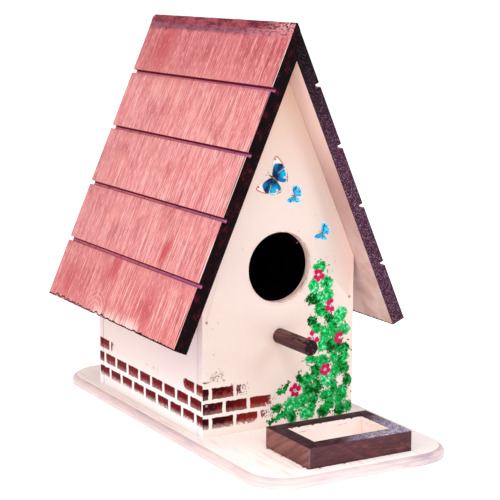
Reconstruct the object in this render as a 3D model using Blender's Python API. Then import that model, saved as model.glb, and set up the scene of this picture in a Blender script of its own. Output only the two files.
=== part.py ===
"""A small painted wooden birdhouse on a routed base board, with a seed tray in front.

Metres, +Z up. The origin is on the base's underside: x = 0 is the plane of the ridge, y = 0 is the
middle of the base from front to back, and the entrance faces -Y.
"""

from math import cos, pi, radians, sin, tan

import bmesh
import bpy
from mathutils import Matrix, Vector

MM = 0.001
GAP = 0.3 * MM  # glue line between two pieces that touch

# Base board: a bought craft plaque with big round corners and a routed edge.
BASE_LEFT = -70.3 * MM
BASE_RIGHT = 79.5 * MM
BASE_DEPTH = 318.0 * MM
BASE_THICK = 7.0 * MM
BASE_CORNER = 28.5 * MM
EDGE_SIDE = 3.5 * MM  # upright part of the routed edge
EDGE_STEP = 1.0 * MM  # small step down from the top face
EDGE_INSET = 3.5 * MM  # how far the step stands in from the side
STEP_LEAN = 0.05 * MM  # the step's riser leans in this much
EDGE_FACETS = 5  # faces around the quarter round
CORNER_FACETS = 8  # faces around each corner of the base

# House.
WALL_WIDTH = 120.0 * MM
WALL_THICK = 6.5 * MM
WALL_HEIGHT = 115.0 * MM  # from the base to the roof's underside, at the walls' outer faces
HOUSE_DEPTH = 164.0 * MM
HOUSE_FRONT = -57.0 * MM  # y of the front wall's outer face
HOLE_RADIUS = 24.4 * MM
HOLE_HEIGHT = 111.5 * MM  # above the base's top
HOLE_SIDES = 64
PERCH_RADIUS = 5.15 * MM
PERCH_HEIGHT = 64.0 * MM
PERCH_REACH = 41.0 * MM  # how far it stands out of the front wall
PERCH_CHAMFER = 0.7 * MM
PERCH_SIDES = 32

# Roof: two boards that meet in a mitre at the ridge, each with four saw cuts across its slope.
PITCH = radians(66.4)
ROOF_THICK = 9.8 * MM
LEFT_SLOPE = 227.2 * MM
RIGHT_SLOPE = 225.2 * MM
FRONT_OVERHANG = 19.3 * MM
BACK_OVERHANG = 24.0 * MM
RIDGE_FLAT = 0.9 * MM  # height sanded off the ridge's sharp edge
KERF = 3.2 * MM  # width and depth of a saw cut
KERF_COUNT = 4
KERF_PITCH = 45.3 * MM
LEFT_FIRST_KERF = 44.9 * MM  # from the ridge down the slope to the cut's upper side
RIGHT_FIRST_KERF = 43.0 * MM

# Seed tray: four strips on the base in front of the house, standing a little to the right.
TRAY_LEFT = -32.3 * MM
TRAY_WIDTH = 79.0 * MM
TRAY_FRONT = 90.7 * MM  # ahead of the front wall
TRAY_DEPTH = 53.2 * MM
TRAY_HEIGHT = 14.0 * MM
STRIP = 10.1 * MM

# Brads, driven through one piece into the next.
BRAD_SHANK = 0.6 * MM  # radius
BRAD_HEAD = 1.0 * MM  # radius
BRAD_HEAD_THICK = 0.6 * MM
BRAD_SET = 0.2 * MM  # how far the head lies below the surface
BRAD_LENGTH = 20.0 * MM
BRAD_POINT = 1.8 * MM
BRAD_SIDES = 8
LEFT_BRAD_HEIGHTS = (22.0 * MM, 79.3 * MM)  # above the base, along the end walls' left edges
RIGHT_BRAD_HEIGHTS = (26.0 * MM, 85.5 * MM)
BASE_BRAD_SPREAD = 45.0 * MM  # from the middle of a side wall, along it
ROOF_BRAD_KERFS = (1, 2)  # the saw cuts that hide the roof's brads

BASE_TOP = BASE_THICK
EAVE = BASE_TOP + WALL_HEIGHT
RIDGE_INSIDE = EAVE + WALL_WIDTH / 2 * tan(PITCH)
RIDGE = RIDGE_INSIDE + ROOF_THICK / cos(PITCH)
HOUSE_BACK = HOUSE_FRONT + HOUSE_DEPTH
ROOF_FRONT = HOUSE_FRONT - FRONT_OVERHANG
ROOF_BACK = HOUSE_BACK + BACK_OVERHANG


def clear_scene():
    for obj in list(bpy.data.objects):
        bpy.data.objects.remove(obj, do_unlink=True)


def make_material(name, colour, roughness, metallic=0.0):
    material = bpy.data.materials.new(name)
    material.use_nodes = True
    shader = material.node_tree.nodes["Principled BSDF"]
    shader.inputs["Base Color"].default_value = (*colour, 1.0)
    shader.inputs["Roughness"].default_value = roughness
    shader.inputs["Metallic"].default_value = metallic
    material.diffuse_color = (*colour, 1.0)
    return material


def make_object(name, mesh, material=None, parent=None, place=None):
    obj = bpy.data.objects.new(name, mesh)
    bpy.context.scene.collection.objects.link(obj)
    if material:
        mesh.materials.append(material)
    if place:
        obj.matrix_world = place
    obj.parent = parent
    return obj


def loft(name, sections, smooth_angle=None):
    """A closed solid through a stack of rings that all have the same number of points."""
    shape = bmesh.new()
    rings = [[shape.verts.new(point) for point in section] for section in sections]
    count = len(rings[0])
    for low, high in zip(rings, rings[1:]):
        for i in range(count):
            j = (i + 1) % count
            shape.faces.new((low[i], low[j], high[j], high[i]))
    shape.faces.new(rings[0])
    shape.faces.new(rings[-1])
    bmesh.ops.recalc_face_normals(shape, faces=shape.faces)
    mesh = bpy.data.meshes.new(name)
    shape.to_mesh(mesh)
    shape.free()
    if smooth_angle:
        mesh.shade_smooth()
        mesh.set_sharp_from_angle(angle=smooth_angle)
    return mesh


def box(name, low, high):
    corners = ((low[0], low[1]), (high[0], low[1]), (high[0], high[1]), (low[0], high[1]))
    return loft(name, [[(x, y, z) for x, y in corners] for z in (low[2], high[2])])


def upright_board(name, outline, front, thickness):
    """A board whose outline is drawn in x and z and whose thickness runs along y."""
    return loft(name, [[(x, y, z) for x, z in outline] for y in (front, front + thickness)])


def turned(name, profile, sides):
    """A round solid about Z from (radius, height) pairs."""
    turns = [2 * pi * i / sides for i in range(sides)]
    sections = [[(r * cos(t), r * sin(t), z) for t in turns] for r, z in profile]
    return loft(name, sections, smooth_angle=radians(30))


def rounded_rectangle(left, right, front, back, radius, z):
    """Points of a rectangle with round corners, anticlockwise from above."""
    centres = (
        (right - radius, back - radius),
        (left + radius, back - radius),
        (left + radius, front + radius),
        (right - radius, front + radius),
    )
    points = []
    for corner, (x, y) in enumerate(centres):
        for step in range(CORNER_FACETS + 1):
            turn = pi / 2 * (corner + step / CORNER_FACETS)
            points.append((x + radius * cos(turn), y + radius * sin(turn), z))
    return points


def aim(point, direction):
    """Places a shape so that its +Z points back along direction, from point."""
    return Matrix.Translation(point) @ Vector(direction).to_track_quat("-Z", "Y").to_matrix().to_4x4()


class Cuts:
    """The cutters of one board, in a collection that a Boolean takes away from it."""

    def __init__(self, board):
        self.board = board
        self.group = bpy.data.collections.new(board.name + "_cutters")
        bpy.context.scene.collection.children.link(self.group)
        cut = board.modifiers.new("holes", "BOOLEAN")
        cut.operation = "DIFFERENCE"
        cut.solver = "EXACT"
        cut.operand_type = "COLLECTION"
        cut.collection = self.group

    def add(self, mesh, place):
        cutter = bpy.data.objects.new(f"{self.board.name}_cutter", mesh)
        cutter.matrix_world = place
        cutter.hide_render = True
        cutter.display_type = "WIRE"
        self.group.objects.link(cutter)


def make_base(material, parent):
    """Three steps up the side: an upright face, a quarter round, and a small step to the top."""
    levels = [(0.0, 0.0), (0.0, EDGE_SIDE)]
    round_height = BASE_THICK - EDGE_STEP - EDGE_SIDE
    for step in range(1, EDGE_FACETS + 1):
        turn = pi / 2 * step / EDGE_FACETS
        levels.append((EDGE_INSET * (1 - cos(turn)), EDGE_SIDE + round_height * sin(turn)))
    levels.append((EDGE_INSET + STEP_LEAN, BASE_THICK))
    half = BASE_DEPTH / 2
    rings = [
        rounded_rectangle(BASE_LEFT + i, BASE_RIGHT - i, -half + i, half - i, BASE_CORNER - i, z)
        for i, z in levels
    ]
    return make_object("base_board", loft("base_board", rings, radians(30)), material, parent)


def make_end_wall(name, front, material, parent):
    """A front or back wall: a rectangle with the gable on top, in one board."""
    half = WALL_WIDTH / 2
    drop = GAP / cos(PITCH)
    low = BASE_TOP + GAP
    outline = [
        (-half, low),
        (half, low),
        (half, EAVE - drop),
        (0.0, RIDGE_INSIDE - drop),
        (-half, EAVE - drop),
    ]
    return make_object(name, upright_board(name, outline, front, WALL_THICK), material, parent)


def make_side_wall(name, side, material, parent):
    """A side wall stands between the end walls and is cut square at its top."""
    outer, inner = side * WALL_WIDTH / 2, side * (WALL_WIDTH / 2 - WALL_THICK)
    low = (min(outer, inner), HOUSE_FRONT + WALL_THICK + GAP, BASE_TOP + GAP)
    high = (max(outer, inner), HOUSE_BACK - WALL_THICK - GAP, EAVE - GAP / cos(PITCH))
    return make_object(name, box(name, low, high), material, parent)


def roof_outline(slope, first_kerf):
    """A roof board's section: s runs down the slope from the ridge, n out of the roof."""
    lap = GAP / 2 / cos(PITCH)
    outline = [
        (lap + RIDGE_FLAT * sin(PITCH), -RIDGE_FLAT * cos(PITCH)),
        (lap + RIDGE_FLAT / sin(PITCH), 0.0),
    ]
    for cut in range(KERF_COUNT):
        start = first_kerf + cut * KERF_PITCH
        outline += [(start, 0.0), (start, -KERF), (start + KERF, -KERF), (start + KERF, 0.0)]
    outline += [(slope, 0.0), (slope, -ROOF_THICK), (lap + ROOF_THICK * tan(PITCH), -ROOF_THICK)]
    return outline


def make_roof_board(name, side, slope, first_kerf, material, parent):
    """The board lies along its own x, down the slope, and is then turned to the roof's pitch."""
    half = (ROOF_BACK - ROOF_FRONT) / 2
    outline = roof_outline(slope, first_kerf)
    mesh = loft(name, [[(s, y, n) for s, n in outline] for y in (-half, half)])
    turn = Matrix.Rotation(0 if side > 0 else pi, 4, "Z") @ Matrix.Rotation(PITCH, 4, "Y")
    place = Matrix.Translation((0, (ROOF_FRONT + ROOF_BACK) / 2, RIDGE)) @ turn
    return make_object(name, mesh, material, parent, place)


def make_perch(material, parent):
    """A dowel glued into the front wall, with its free end chamfered."""
    length = PERCH_REACH + WALL_THICK
    profile = [
        (PERCH_RADIUS, 0.0),
        (PERCH_RADIUS, length - PERCH_CHAMFER),
        (PERCH_RADIUS - PERCH_CHAMFER, length),
    ]
    back_end = (0, HOUSE_FRONT + WALL_THICK, BASE_TOP + PERCH_HEIGHT)
    return make_object("perch", turned("perch", profile, PERCH_SIDES), material, parent, aim(back_end, (0, 1, 0)))


def make_tray(material, parent):
    """Four strips: the front and back ones run the full width, the side ones fit between them."""
    front = HOUSE_FRONT - TRAY_FRONT
    back = front + TRAY_DEPTH
    right = TRAY_LEFT + TRAY_WIDTH
    low, high = BASE_TOP + GAP, BASE_TOP + TRAY_HEIGHT
    extents = {
        "tray_front_strip": (TRAY_LEFT, right, front, front + STRIP),
        "tray_back_strip": (TRAY_LEFT, right, back - STRIP, back),
        "tray_left_strip": (TRAY_LEFT, TRAY_LEFT + STRIP, front + STRIP + GAP, back - STRIP - GAP),
        "tray_right_strip": (right - STRIP, right, front + STRIP + GAP, back - STRIP - GAP),
    }
    return {
        name: make_object(name, box(name, (x0, y0, low), (x1, y1, high)), material, parent)
        for name, (x0, x1, y0, y1) in extents.items()
    }


def brad_profiles():
    """Heights from the surface, along +Z out of the board: the brad, and the hole that takes it."""
    top = -BRAD_SET
    tip = top - BRAD_LENGTH
    brad = [
        (BRAD_HEAD, top),
        (BRAD_HEAD, top - BRAD_HEAD_THICK),
        (BRAD_SHANK, top - BRAD_HEAD_THICK),
        (BRAD_SHANK, tip + BRAD_POINT),
        (BRAD_SHANK / 4, tip),
    ]
    seat = top - BRAD_HEAD_THICK - GAP
    hole = [
        (BRAD_HEAD + GAP, MM),
        (BRAD_HEAD + GAP, seat),
        (BRAD_SHANK + GAP, seat),
        (BRAD_SHANK + GAP, tip - GAP),
    ]
    return brad, hole


def drive_brads(prefix, brads, material, parent):
    """brads: (point on the surface, direction that it is driven in, the boards that it holds)."""
    brad, hole = brad_profiles()
    brad_mesh = turned("brad", brad, BRAD_SIDES)
    brad_mesh.materials.append(material)
    hole_mesh = turned("brad_hole", hole, BRAD_SIDES)
    for number, (point, direction, cuts) in enumerate(brads, start=1):
        place = aim(point, direction)
        make_object(f"{prefix}_{number}", brad_mesh, None, parent, place)
        for cut in cuts:
            cut.add(hole_mesh, place)


def main():
    clear_scene()
    birdhouse = bpy.data.objects.new("birdhouse", None)
    bpy.context.scene.collection.objects.link(birdhouse)

    cream = make_material("cream_paint", (0.92, 0.80, 0.73), 0.55)
    rose = make_material("rose_wash", (0.62, 0.20, 0.20), 0.55)
    umber = make_material("umber_paint", (0.12, 0.035, 0.04), 0.45)
    steel = make_material("steel", (0.45, 0.44, 0.43), 0.4, 1.0)

    base = make_base(cream, birdhouse)
    front_wall = make_end_wall("front_wall", HOUSE_FRONT, cream, birdhouse)
    back_wall = make_end_wall("back_wall", HOUSE_BACK - WALL_THICK, cream, birdhouse)
    walls = {
        -1: make_side_wall("left_wall", -1, cream, birdhouse),
        1: make_side_wall("right_wall", 1, cream, birdhouse),
    }
    roofs = {
        -1: make_roof_board("left_roof_board", -1, LEFT_SLOPE, LEFT_FIRST_KERF, rose, birdhouse),
        1: make_roof_board("right_roof_board", 1, RIGHT_SLOPE, RIGHT_FIRST_KERF, rose, birdhouse),
    }
    make_perch(umber, birdhouse)
    strips = make_tray(umber, birdhouse)

    boards = [base, front_wall, back_wall, *walls.values(), *roofs.values(), *strips.values()]
    cuts = {board.name: Cuts(board) for board in boards}

    # The entrance and the perch's hole go right through the front wall.
    for radius, height, sides in (
        (HOLE_RADIUS, HOLE_HEIGHT, HOLE_SIDES),
        (PERCH_RADIUS + GAP, PERCH_HEIGHT, PERCH_SIDES),
    ):
        cutter = turned("round_cutter", [(radius, -WALL_THICK), (radius, 2 * WALL_THICK)], sides)
        middle = (0, HOUSE_FRONT + WALL_THICK, BASE_TOP + height)
        cuts["front_wall"].add(cutter, aim(middle, (0, 1, 0)))

    # End walls to side walls: two brads a side.
    across = WALL_WIDTH / 2 - WALL_THICK / 2
    side_cuts = {-1: cuts["left_wall"], 1: cuts["right_wall"]}
    for wall, face, inward in (("front_wall", HOUSE_FRONT, 1), ("back_wall", HOUSE_BACK, -1)):
        brads = [
            ((side * across, face, BASE_TOP + height), (0, inward, 0), (cuts[wall], side_cuts[side]))
            for side, heights in ((-1, LEFT_BRAD_HEIGHTS), (1, RIGHT_BRAD_HEIGHTS))
            for height in heights
        ]
        drive_brads(f"{wall}_brad", brads, steel, birdhouse)

    # Roof boards to the end walls' gables: the heads lie at the bottom of the saw cuts.
    wall_middles = (
        (HOUSE_FRONT + WALL_THICK / 2, cuts["front_wall"]),
        (HOUSE_BACK - WALL_THICK / 2, cuts["back_wall"]),
    )
    for side, first_kerf in ((-1, LEFT_FIRST_KERF), (1, RIGHT_FIRST_KERF)):
        roof = roofs[side]
        outward = Vector((side * sin(PITCH), 0, cos(PITCH)))
        down = Vector((side * cos(PITCH), 0, -sin(PITCH)))
        brads = []
        for y, wall_cuts in wall_middles:
            for kerf in ROOF_BRAD_KERFS:
                along = first_kerf + kerf * KERF_PITCH + KERF / 2
                point = Vector((0, y, RIDGE)) + down * along - outward * KERF
                brads.append((point, -outward, (cuts[roof.name], wall_cuts)))
        drive_brads(roof.name.replace("board", "brad"), brads, steel, birdhouse)

    # Base to the walls, from below: two into each side wall and one into each end wall.
    house_middle = (HOUSE_FRONT + HOUSE_BACK) / 2
    up = (0, 0, 1)
    brads = [
        ((side * across, house_middle + y, 0), up, (cuts["base_board"], side_cuts[side]))
        for side in (-1, 1)
        for y in (-BASE_BRAD_SPREAD, BASE_BRAD_SPREAD)
    ]
    brads += [((0, y, 0), up, (cuts["base_board"], wall_cuts)) for y, wall_cuts in wall_middles]
    drive_brads("base_brad", brads, steel, birdhouse)

    # The tray's corners: through the front and back strips into the ends of the side strips.
    front = HOUSE_FRONT - TRAY_FRONT
    back = front + TRAY_DEPTH
    right = TRAY_LEFT + TRAY_WIDTH
    middle_height = BASE_TOP + TRAY_HEIGHT / 2
    corners = [
        ((x, y, middle_height), (0, inward, 0), (cuts[strip], cuts[side_strip]))
        for y, inward, strip in ((front, 1, "tray_front_strip"), (back, -1, "tray_back_strip"))
        for x, side_strip in (
            (TRAY_LEFT + STRIP / 2, "tray_left_strip"),
            (right - STRIP / 2, "tray_right_strip"),
        )
    ]
    drive_brads("tray_corner_brad", corners, steel, birdhouse)


main()
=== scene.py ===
# %% [markdown]
# # A painted wooden birdhouse
# The real object is a steep little house of thin boards, glued and pinned, and then painted by hand: a
# streaky rose wash on the roof, cream on the walls, stamped bricks, a climbing plant in flower and three
# butterflies. The boards' sizes come from the imported model. This script gives them soft edges and paint.

# %% Load the model
from math import atan2, cos, degrees, hypot, pi, radians, sin

import bmesh
import bpy
import numpy as np
from mathutils import Matrix, Vector, noise


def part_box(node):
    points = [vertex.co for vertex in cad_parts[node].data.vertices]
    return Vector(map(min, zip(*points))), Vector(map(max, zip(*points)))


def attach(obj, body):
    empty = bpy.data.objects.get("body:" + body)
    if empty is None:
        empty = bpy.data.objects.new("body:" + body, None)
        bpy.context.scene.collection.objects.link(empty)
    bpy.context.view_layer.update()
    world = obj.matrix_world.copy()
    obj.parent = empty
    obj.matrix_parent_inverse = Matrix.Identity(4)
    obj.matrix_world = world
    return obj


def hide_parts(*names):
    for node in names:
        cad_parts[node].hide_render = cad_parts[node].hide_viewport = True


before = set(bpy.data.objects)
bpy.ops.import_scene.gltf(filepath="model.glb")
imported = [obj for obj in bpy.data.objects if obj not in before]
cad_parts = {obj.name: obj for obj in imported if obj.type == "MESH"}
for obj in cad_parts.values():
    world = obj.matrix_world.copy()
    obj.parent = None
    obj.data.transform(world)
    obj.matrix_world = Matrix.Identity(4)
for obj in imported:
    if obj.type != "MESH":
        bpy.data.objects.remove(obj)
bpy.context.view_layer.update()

MM = 0.001
print("loaded", len(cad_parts), "nodes")

# %% [markdown]
# ## Sizes read from the boards
# Every place below comes from the boards' own boxes, so the paint stays on the wood if a size changes.
# Lengths in patterns are in millimetres, because a painter thinks of a brick as 16 mm long.

# %% Places on the house, in millimetres


def box_mm(node):
    low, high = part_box(node)
    return low / MM, high / MM


FRONT_LOW, FRONT_HIGH = box_mm("front_wall")
BACK_HIGH = box_mm("back_wall")[1]
TRAY_LOW, TRAY_BACK_HIGH = box_mm("tray_front_strip")[0], box_mm("tray_back_strip")[1]
STRIP = box_mm("tray_left_strip")[1].x - box_mm("tray_left_strip")[0].x
TRAY_TOP = TRAY_BACK_HIGH.z
BASE_TOP = box_mm("base_board")[1].z
HALF_WIDTH = FRONT_HIGH.x
WALL_THICK = FRONT_HIGH.y - FRONT_LOW.y
ROOF_LOW, ROOF_HIGH = box_mm("left_roof_board")


def entrance():
    """The entrance's centre and radius, from the points of the front wall that ring it."""
    points = np.array([vert.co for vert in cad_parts["front_wall"].data.vertices]) / MM
    ring = points[(np.abs(points[:, 0]) < 30) & (points[:, 2] > 80) & (points[:, 2] < 148)]
    low, high = ring.min(axis=0), ring.max(axis=0)
    return Vector((low + high) / 2), (high[0] - low[0]) / 2


HOLE, HOLE_RADIUS = entrance()
print(f"entrance at {HOLE.z:.1f} mm, radius {HOLE_RADIUS:.1f} mm")
print(f"wall face {2 * HALF_WIDTH:.1f} mm wide, {WALL_THICK:.1f} mm thick")

# %% [markdown]
# ## Camera
# The house is seen from its left front, a little above, with a long lens, so that upright edges stay
# nearly parallel. A camera is placed by choosing where it looks, from which side and from how far.

# %% Camera
scene = bpy.context.scene
AIM = Vector((-10.2, -33.0, 128.0)) * MM
AZIMUTH, ELEVATION, ROLL = radians(-30.0), radians(10.33), radians(0.23)
DISTANCE = 1056.4 * MM

outward = Vector((sin(AZIMUTH) * cos(ELEVATION), -cos(AZIMUTH) * cos(ELEVATION), sin(ELEVATION)))
camera_data = bpy.data.cameras.new("camera")
camera_data.lens = 110.6
camera_data.sensor_width = 36.0
camera_data.shift_x = 0.0012
camera_data.shift_y = -0.001
camera_data.clip_start = 0.05
camera = bpy.data.objects.new("camera", camera_data)
scene.collection.objects.link(camera)
turn = (-outward).to_track_quat("-Z", "Y")
camera.matrix_world = (
    Matrix.Translation(AIM + outward * DISTANCE) @ turn.to_matrix().to_4x4() @ Matrix.Rotation(ROLL, 4, "Z")
)
scene.camera = camera
scene.view_settings.view_transform = "Standard"
print("camera at", [round(v, 3) for v in camera.matrix_world.translation])

# %% [markdown]
# ## Light and floor
# Two soft boxes stand in front, one on each side, so the perch throws two faint shadows. A third one on
# the left lights the side wall and the roof. The floor glows a little, which washes its shadows out the
# way a white table does under strong lights.

# %% Light and floor


def soft_box(name, azimuth, elevation, distance, side, watts, colour=(1, 1, 1)):
    a, e = radians(azimuth), radians(elevation)
    light = bpy.data.lights.new(name, "AREA")
    light.shape = "SQUARE"
    light.size = side
    light.energy = watts
    light.color = colour
    lamp = bpy.data.objects.new(name, light)
    scene.collection.objects.link(lamp)
    away = Vector((sin(a) * cos(e), -cos(a) * cos(e), sin(e)))
    facing = away.to_track_quat("Z", "Y").to_matrix().to_4x4()
    lamp.matrix_world = Matrix.Translation(AIM + away * distance) @ facing


soft_box("right_box", 25, 24, 1.6, 0.42, 4.0, (0.55, 0.85, 1.0))
soft_box("left_box", -20, 33, 1.6, 0.34, 4.4, (1.0, 0.96, 0.96))
soft_box("side_box", -75, 30, 1.8, 1.2, 7.0, (1.0, 0.97, 0.98))
soft_box("top_box", -40, 78, 1.8, 1.2, 12.0, (1.0, 0.985, 0.98))

world = bpy.data.worlds.new("studio")
scene.world = world
world.use_nodes = True
world.node_tree.nodes["Background"].inputs["Color"].default_value = (1.0, 0.985, 0.98, 1)
world.node_tree.nodes["Background"].inputs["Strength"].default_value = 0.62


# %% [markdown]
# ## A small language for nodes
# A node tree drawn by hand is hard to read as code. Here one class holds a tree, and its `node` method
# adds any node: settings first, then the sockets' values or links. A second class wraps an output, so
# that `1 - mask * 0.5` adds the Math nodes by itself. Both serve shaders and Geometry Nodes.

# %% The tree and the wrapped socket


class Wire:
    """An output socket that Python's operators add Math nodes to."""

    def __init__(self, graph, socket):
        self.graph, self.socket = graph, socket

    def math(self, operation, *values):
        return self.graph.math(operation, *values)

    def __add__(self, other):
        return self.math("ADD", self, other)

    def __sub__(self, other):
        return self.math("SUBTRACT", self, other)

    def __rsub__(self, other):
        return self.math("SUBTRACT", other, self)

    def __mul__(self, other):
        return self.math("MULTIPLY", self, other)

    def __truediv__(self, other):
        return self.math("DIVIDE", self, other)

    def __lt__(self, other):
        return self.math("LESS_THAN", self, other)

    def __gt__(self, other):
        return self.math("GREATER_THAN", self, other)

    def __abs__(self):
        return self.math("ABSOLUTE", self)

    def __mod__(self, other):
        return self.math("FLOORED_MODULO", self, other)

    def floor(self):
        return self.math("FLOOR", self)

    __radd__ = __add__
    __rmul__ = __mul__


class Graph:
    """A node tree. Sockets are named by keyword, or by number as s0, s1 where names repeat."""

    MATH = "ShaderNodeMath"

    def __init__(self, tree):
        self.tree = tree

    def node(self, kind, settings=None, output=0, **sockets):
        made = self.tree.nodes.new(kind)
        for name, value in (settings or {}).items():
            if name == "stops":
                ramp = made.color_ramp.elements
                while len(ramp) < len(value):
                    ramp.new(0.5)
                for element, (position, colour) in zip(ramp, value):
                    element.position = position
                    element.color = (*colour, 1.0)
            else:
                setattr(made, name, value)
        for name, value in sockets.items():
            key = int(name[1:]) if name[0] == "s" and name[1:].isdigit() else name.replace("_", " ")
            self.plug(made.inputs[key], value)
        return Wire(self, made.outputs[output])

    def plug(self, socket, value):
        if isinstance(value, Wire):
            self.tree.links.new(value.socket, socket)
        else:
            socket.default_value = value

    def math(self, operation, *values):
        return self.node(self.MATH, {"operation": operation}, **{f"s{i}": v for i, v in enumerate(values)})


# %% [markdown]
# ## Paint as arithmetic
# A finish is a formula on the point's own place: how far it is from an edge, which brick it is in, how
# much sponge or brush left there. These helpers say that in few words. Places come in millimetres from
# Object coordinates, so a pattern stays on its board in every view.

# %% Helpers for painting


def chart(red, green, blue):
    """A paint chart's 0-255 colour as the linear values that a shader takes."""
    values = (red / 255, green / 255, blue / 255)
    return tuple(v / 12.92 if v <= 0.04045 else ((v + 0.055) / 1.055) ** 2.4 for v in values)


class Paint(Graph):
    """A material whose surface is worked out from places in millimetres."""

    def __init__(self, name, roughness=0.6, specular=0.2, metallic=0.0):
        self.material = bpy.data.materials.new(name)
        self.material.use_nodes = True
        super().__init__(self.material.node_tree)
        self.shader = self.tree.nodes["Principled BSDF"]
        self.shader.inputs["Roughness"].default_value = roughness
        self.shader.inputs["Specular IOR Level"].default_value = specular
        self.shader.inputs["Metallic"].default_value = metallic
        place = self.node("ShaderNodeTexCoord", output="Object")
        self.place = self.node("ShaderNodeVectorMath", {"operation": "SCALE"}, s0=place, Scale=1000.0)
        parts = [self.node("ShaderNodeSeparateXYZ", output=i, s0=self.place) for i in range(3)]
        self.x, self.y, self.z = parts

    def vector(self, x, y, z):
        return self.node("ShaderNodeCombineXYZ", X=x, Y=y, Z=z)

    def attribute(self, name):
        return self.node("ShaderNodeAttribute", {"attribute_name": name}, output="Fac")

    def noise(self, size, detail=2.0, stretch=(1, 1, 1), seed=0.0, at=None, roughness=0.5):
        """Noise from 0 to 1 whose blobs are about size millimetres, times stretch along each axis."""
        scale = tuple(1.0 / (size * s) for s in stretch)
        settings = {"operation": "MULTIPLY_ADD"}
        where = self.node("ShaderNodeVectorMath", settings, s0=at or self.place, s1=scale, s2=(seed,) * 3)
        return self.node("ShaderNodeTexNoise", Vector=where, Scale=1.0, Detail=detail, Roughness=roughness)

    def ramp(self, value, low, high):
        """0 at low, 1 at high, smooth between, whichever of the two is the larger."""
        return self.node(
            "ShaderNodeMapRange",
            {"interpolation_type": "SMOOTHSTEP"},
            Value=value,
            From_Min=low,
            From_Max=high,
        )

    def band(self, value, low, high, soft=0.3):
        """1 between low and high."""
        return self.ramp(value, low - soft, low + soft) * self.ramp(value, high + soft, high - soft)

    def mix(self, first, second, factor):
        """first where factor is 0, second where it is 1. Both are colours."""
        sockets = {
            f"s{number}": value if isinstance(value, Wire) else (*value, 1.0)
            for number, value in ((6, first), (7, second))
        }
        return self.node("ShaderNodeMix", {"data_type": "RGBA"}, output=2, s0=factor, **sockets)

    def most(self, *values):
        top = values[0]
        for value in values[1:]:
            top = self.math("MAXIMUM", top, value)
        return top

    def finish(self, colour, roughness=None, height=None, depth=0.1, alpha=None):
        """Wires up the surface. height runs from 0 to 1 and stands for depth millimetres."""
        self.plug(self.shader.inputs["Base Color"], colour)
        if roughness is not None:
            self.plug(self.shader.inputs["Roughness"], roughness)
        if alpha is not None:
            self.plug(self.shader.inputs["Alpha"], alpha)
        if height is not None:
            bump = self.node("ShaderNodeBump", Strength=1.0, Distance=depth * MM, Height=height)
            self.plug(self.shader.inputs["Normal"], bump)
        return self.material


# %% [markdown]
# The floor is a white table: one big face, a little uneven in tone, that glows enough to lose its edge.

# %% The floor


def floor_paint():
    p = Paint("white_table", roughness=0.9)
    p.shader.inputs["Emission Strength"].default_value = 0.55
    p.shader.inputs["Emission Color"].default_value = (1, 1, 1, 1)
    grain = p.noise(90.0, detail=2.0)
    return p.finish(p.mix((0.93, 0.93, 0.93), (0.97, 0.97, 0.97), grain))


floor_mesh = bpy.data.meshes.new("floor")
REACH = 400.0
corners = [(-REACH, -REACH, 0), (REACH, -REACH, 0), (REACH, REACH, 0), (-REACH, REACH, 0)]
floor_mesh.from_pydata(corners, [], [(0, 1, 2, 3)])
floor = bpy.data.objects.new("floor", floor_mesh)
floor.location.z = -0.0002
floor_mesh.materials.append(floor_paint())
scene.collection.objects.link(floor)

# %% [markdown]
# ## Boards with soft edges
# A sawn board has arrises that sandpaper has rounded by a few tenths of a millimetre, and light catches
# them. Each board is a copy of its solid: its loose triangles are merged, flat faces are joined again,
# and only the long edges are bevelled, so that the small brad holes stay crisp.

# %% Soft-edged copies


FILM = 0.14 * MM
FACE = FRONT_LOW.y - FILM / MM


def piece(name, mesh, material):
    """Links a finished mesh, gives it its material and lets it ride on the house."""
    obj = bpy.data.objects.new(name, mesh)
    scene.collection.objects.link(obj)
    mesh.materials.clear()
    mesh.materials.append(material)
    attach(obj, "root")
    return obj


def board_shape(node):
    """The solid's own faces, swollen by a film of paint that closes the hairline joints."""
    shape = bmesh.new()
    shape.from_mesh(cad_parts[node].data)
    bmesh.ops.remove_doubles(shape, verts=shape.verts, dist=2e-6)
    bmesh.ops.dissolve_limit(shape, angle_limit=radians(0.5), verts=shape.verts, edges=shape.edges)
    shape.normal_update()
    moves = [(vert, vert.normal * vert.calc_shell_factor() * FILM) for vert in shape.verts]
    for vert, move in moves:
        vert.co += move
    return shape


def soften(shape, width, shortest=1.2 * MM, segments=2):
    """Rounds the sharp edges that are longer than shortest."""
    long_edges = [e for e in shape.edges if len(e.link_faces) == 2 and e.calc_length() > shortest]
    edges = [e for e in long_edges if e.calc_face_angle() > radians(25)]
    bmesh.ops.bevel(
        shape,
        geom=edges,
        offset=width,
        offset_type="OFFSET",
        segments=segments,
        profile=0.5,
        affect="EDGES",
        clamp_overlap=True,
    )


def flatten_broad_faces(mesh):
    """A broad face shades by its own normal, not by the rounded edges around it."""
    for polygon in mesh.polygons:
        polygon.use_smooth = polygon.area < 400.0 * MM * MM


def to_mesh(shape, name, sharp=radians(40)):
    mesh = bpy.data.meshes.new(name)
    shape.to_mesh(mesh)
    shape.free()
    mesh.shade_smooth()
    mesh.set_sharp_from_angle(angle=sharp)
    return mesh


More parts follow.
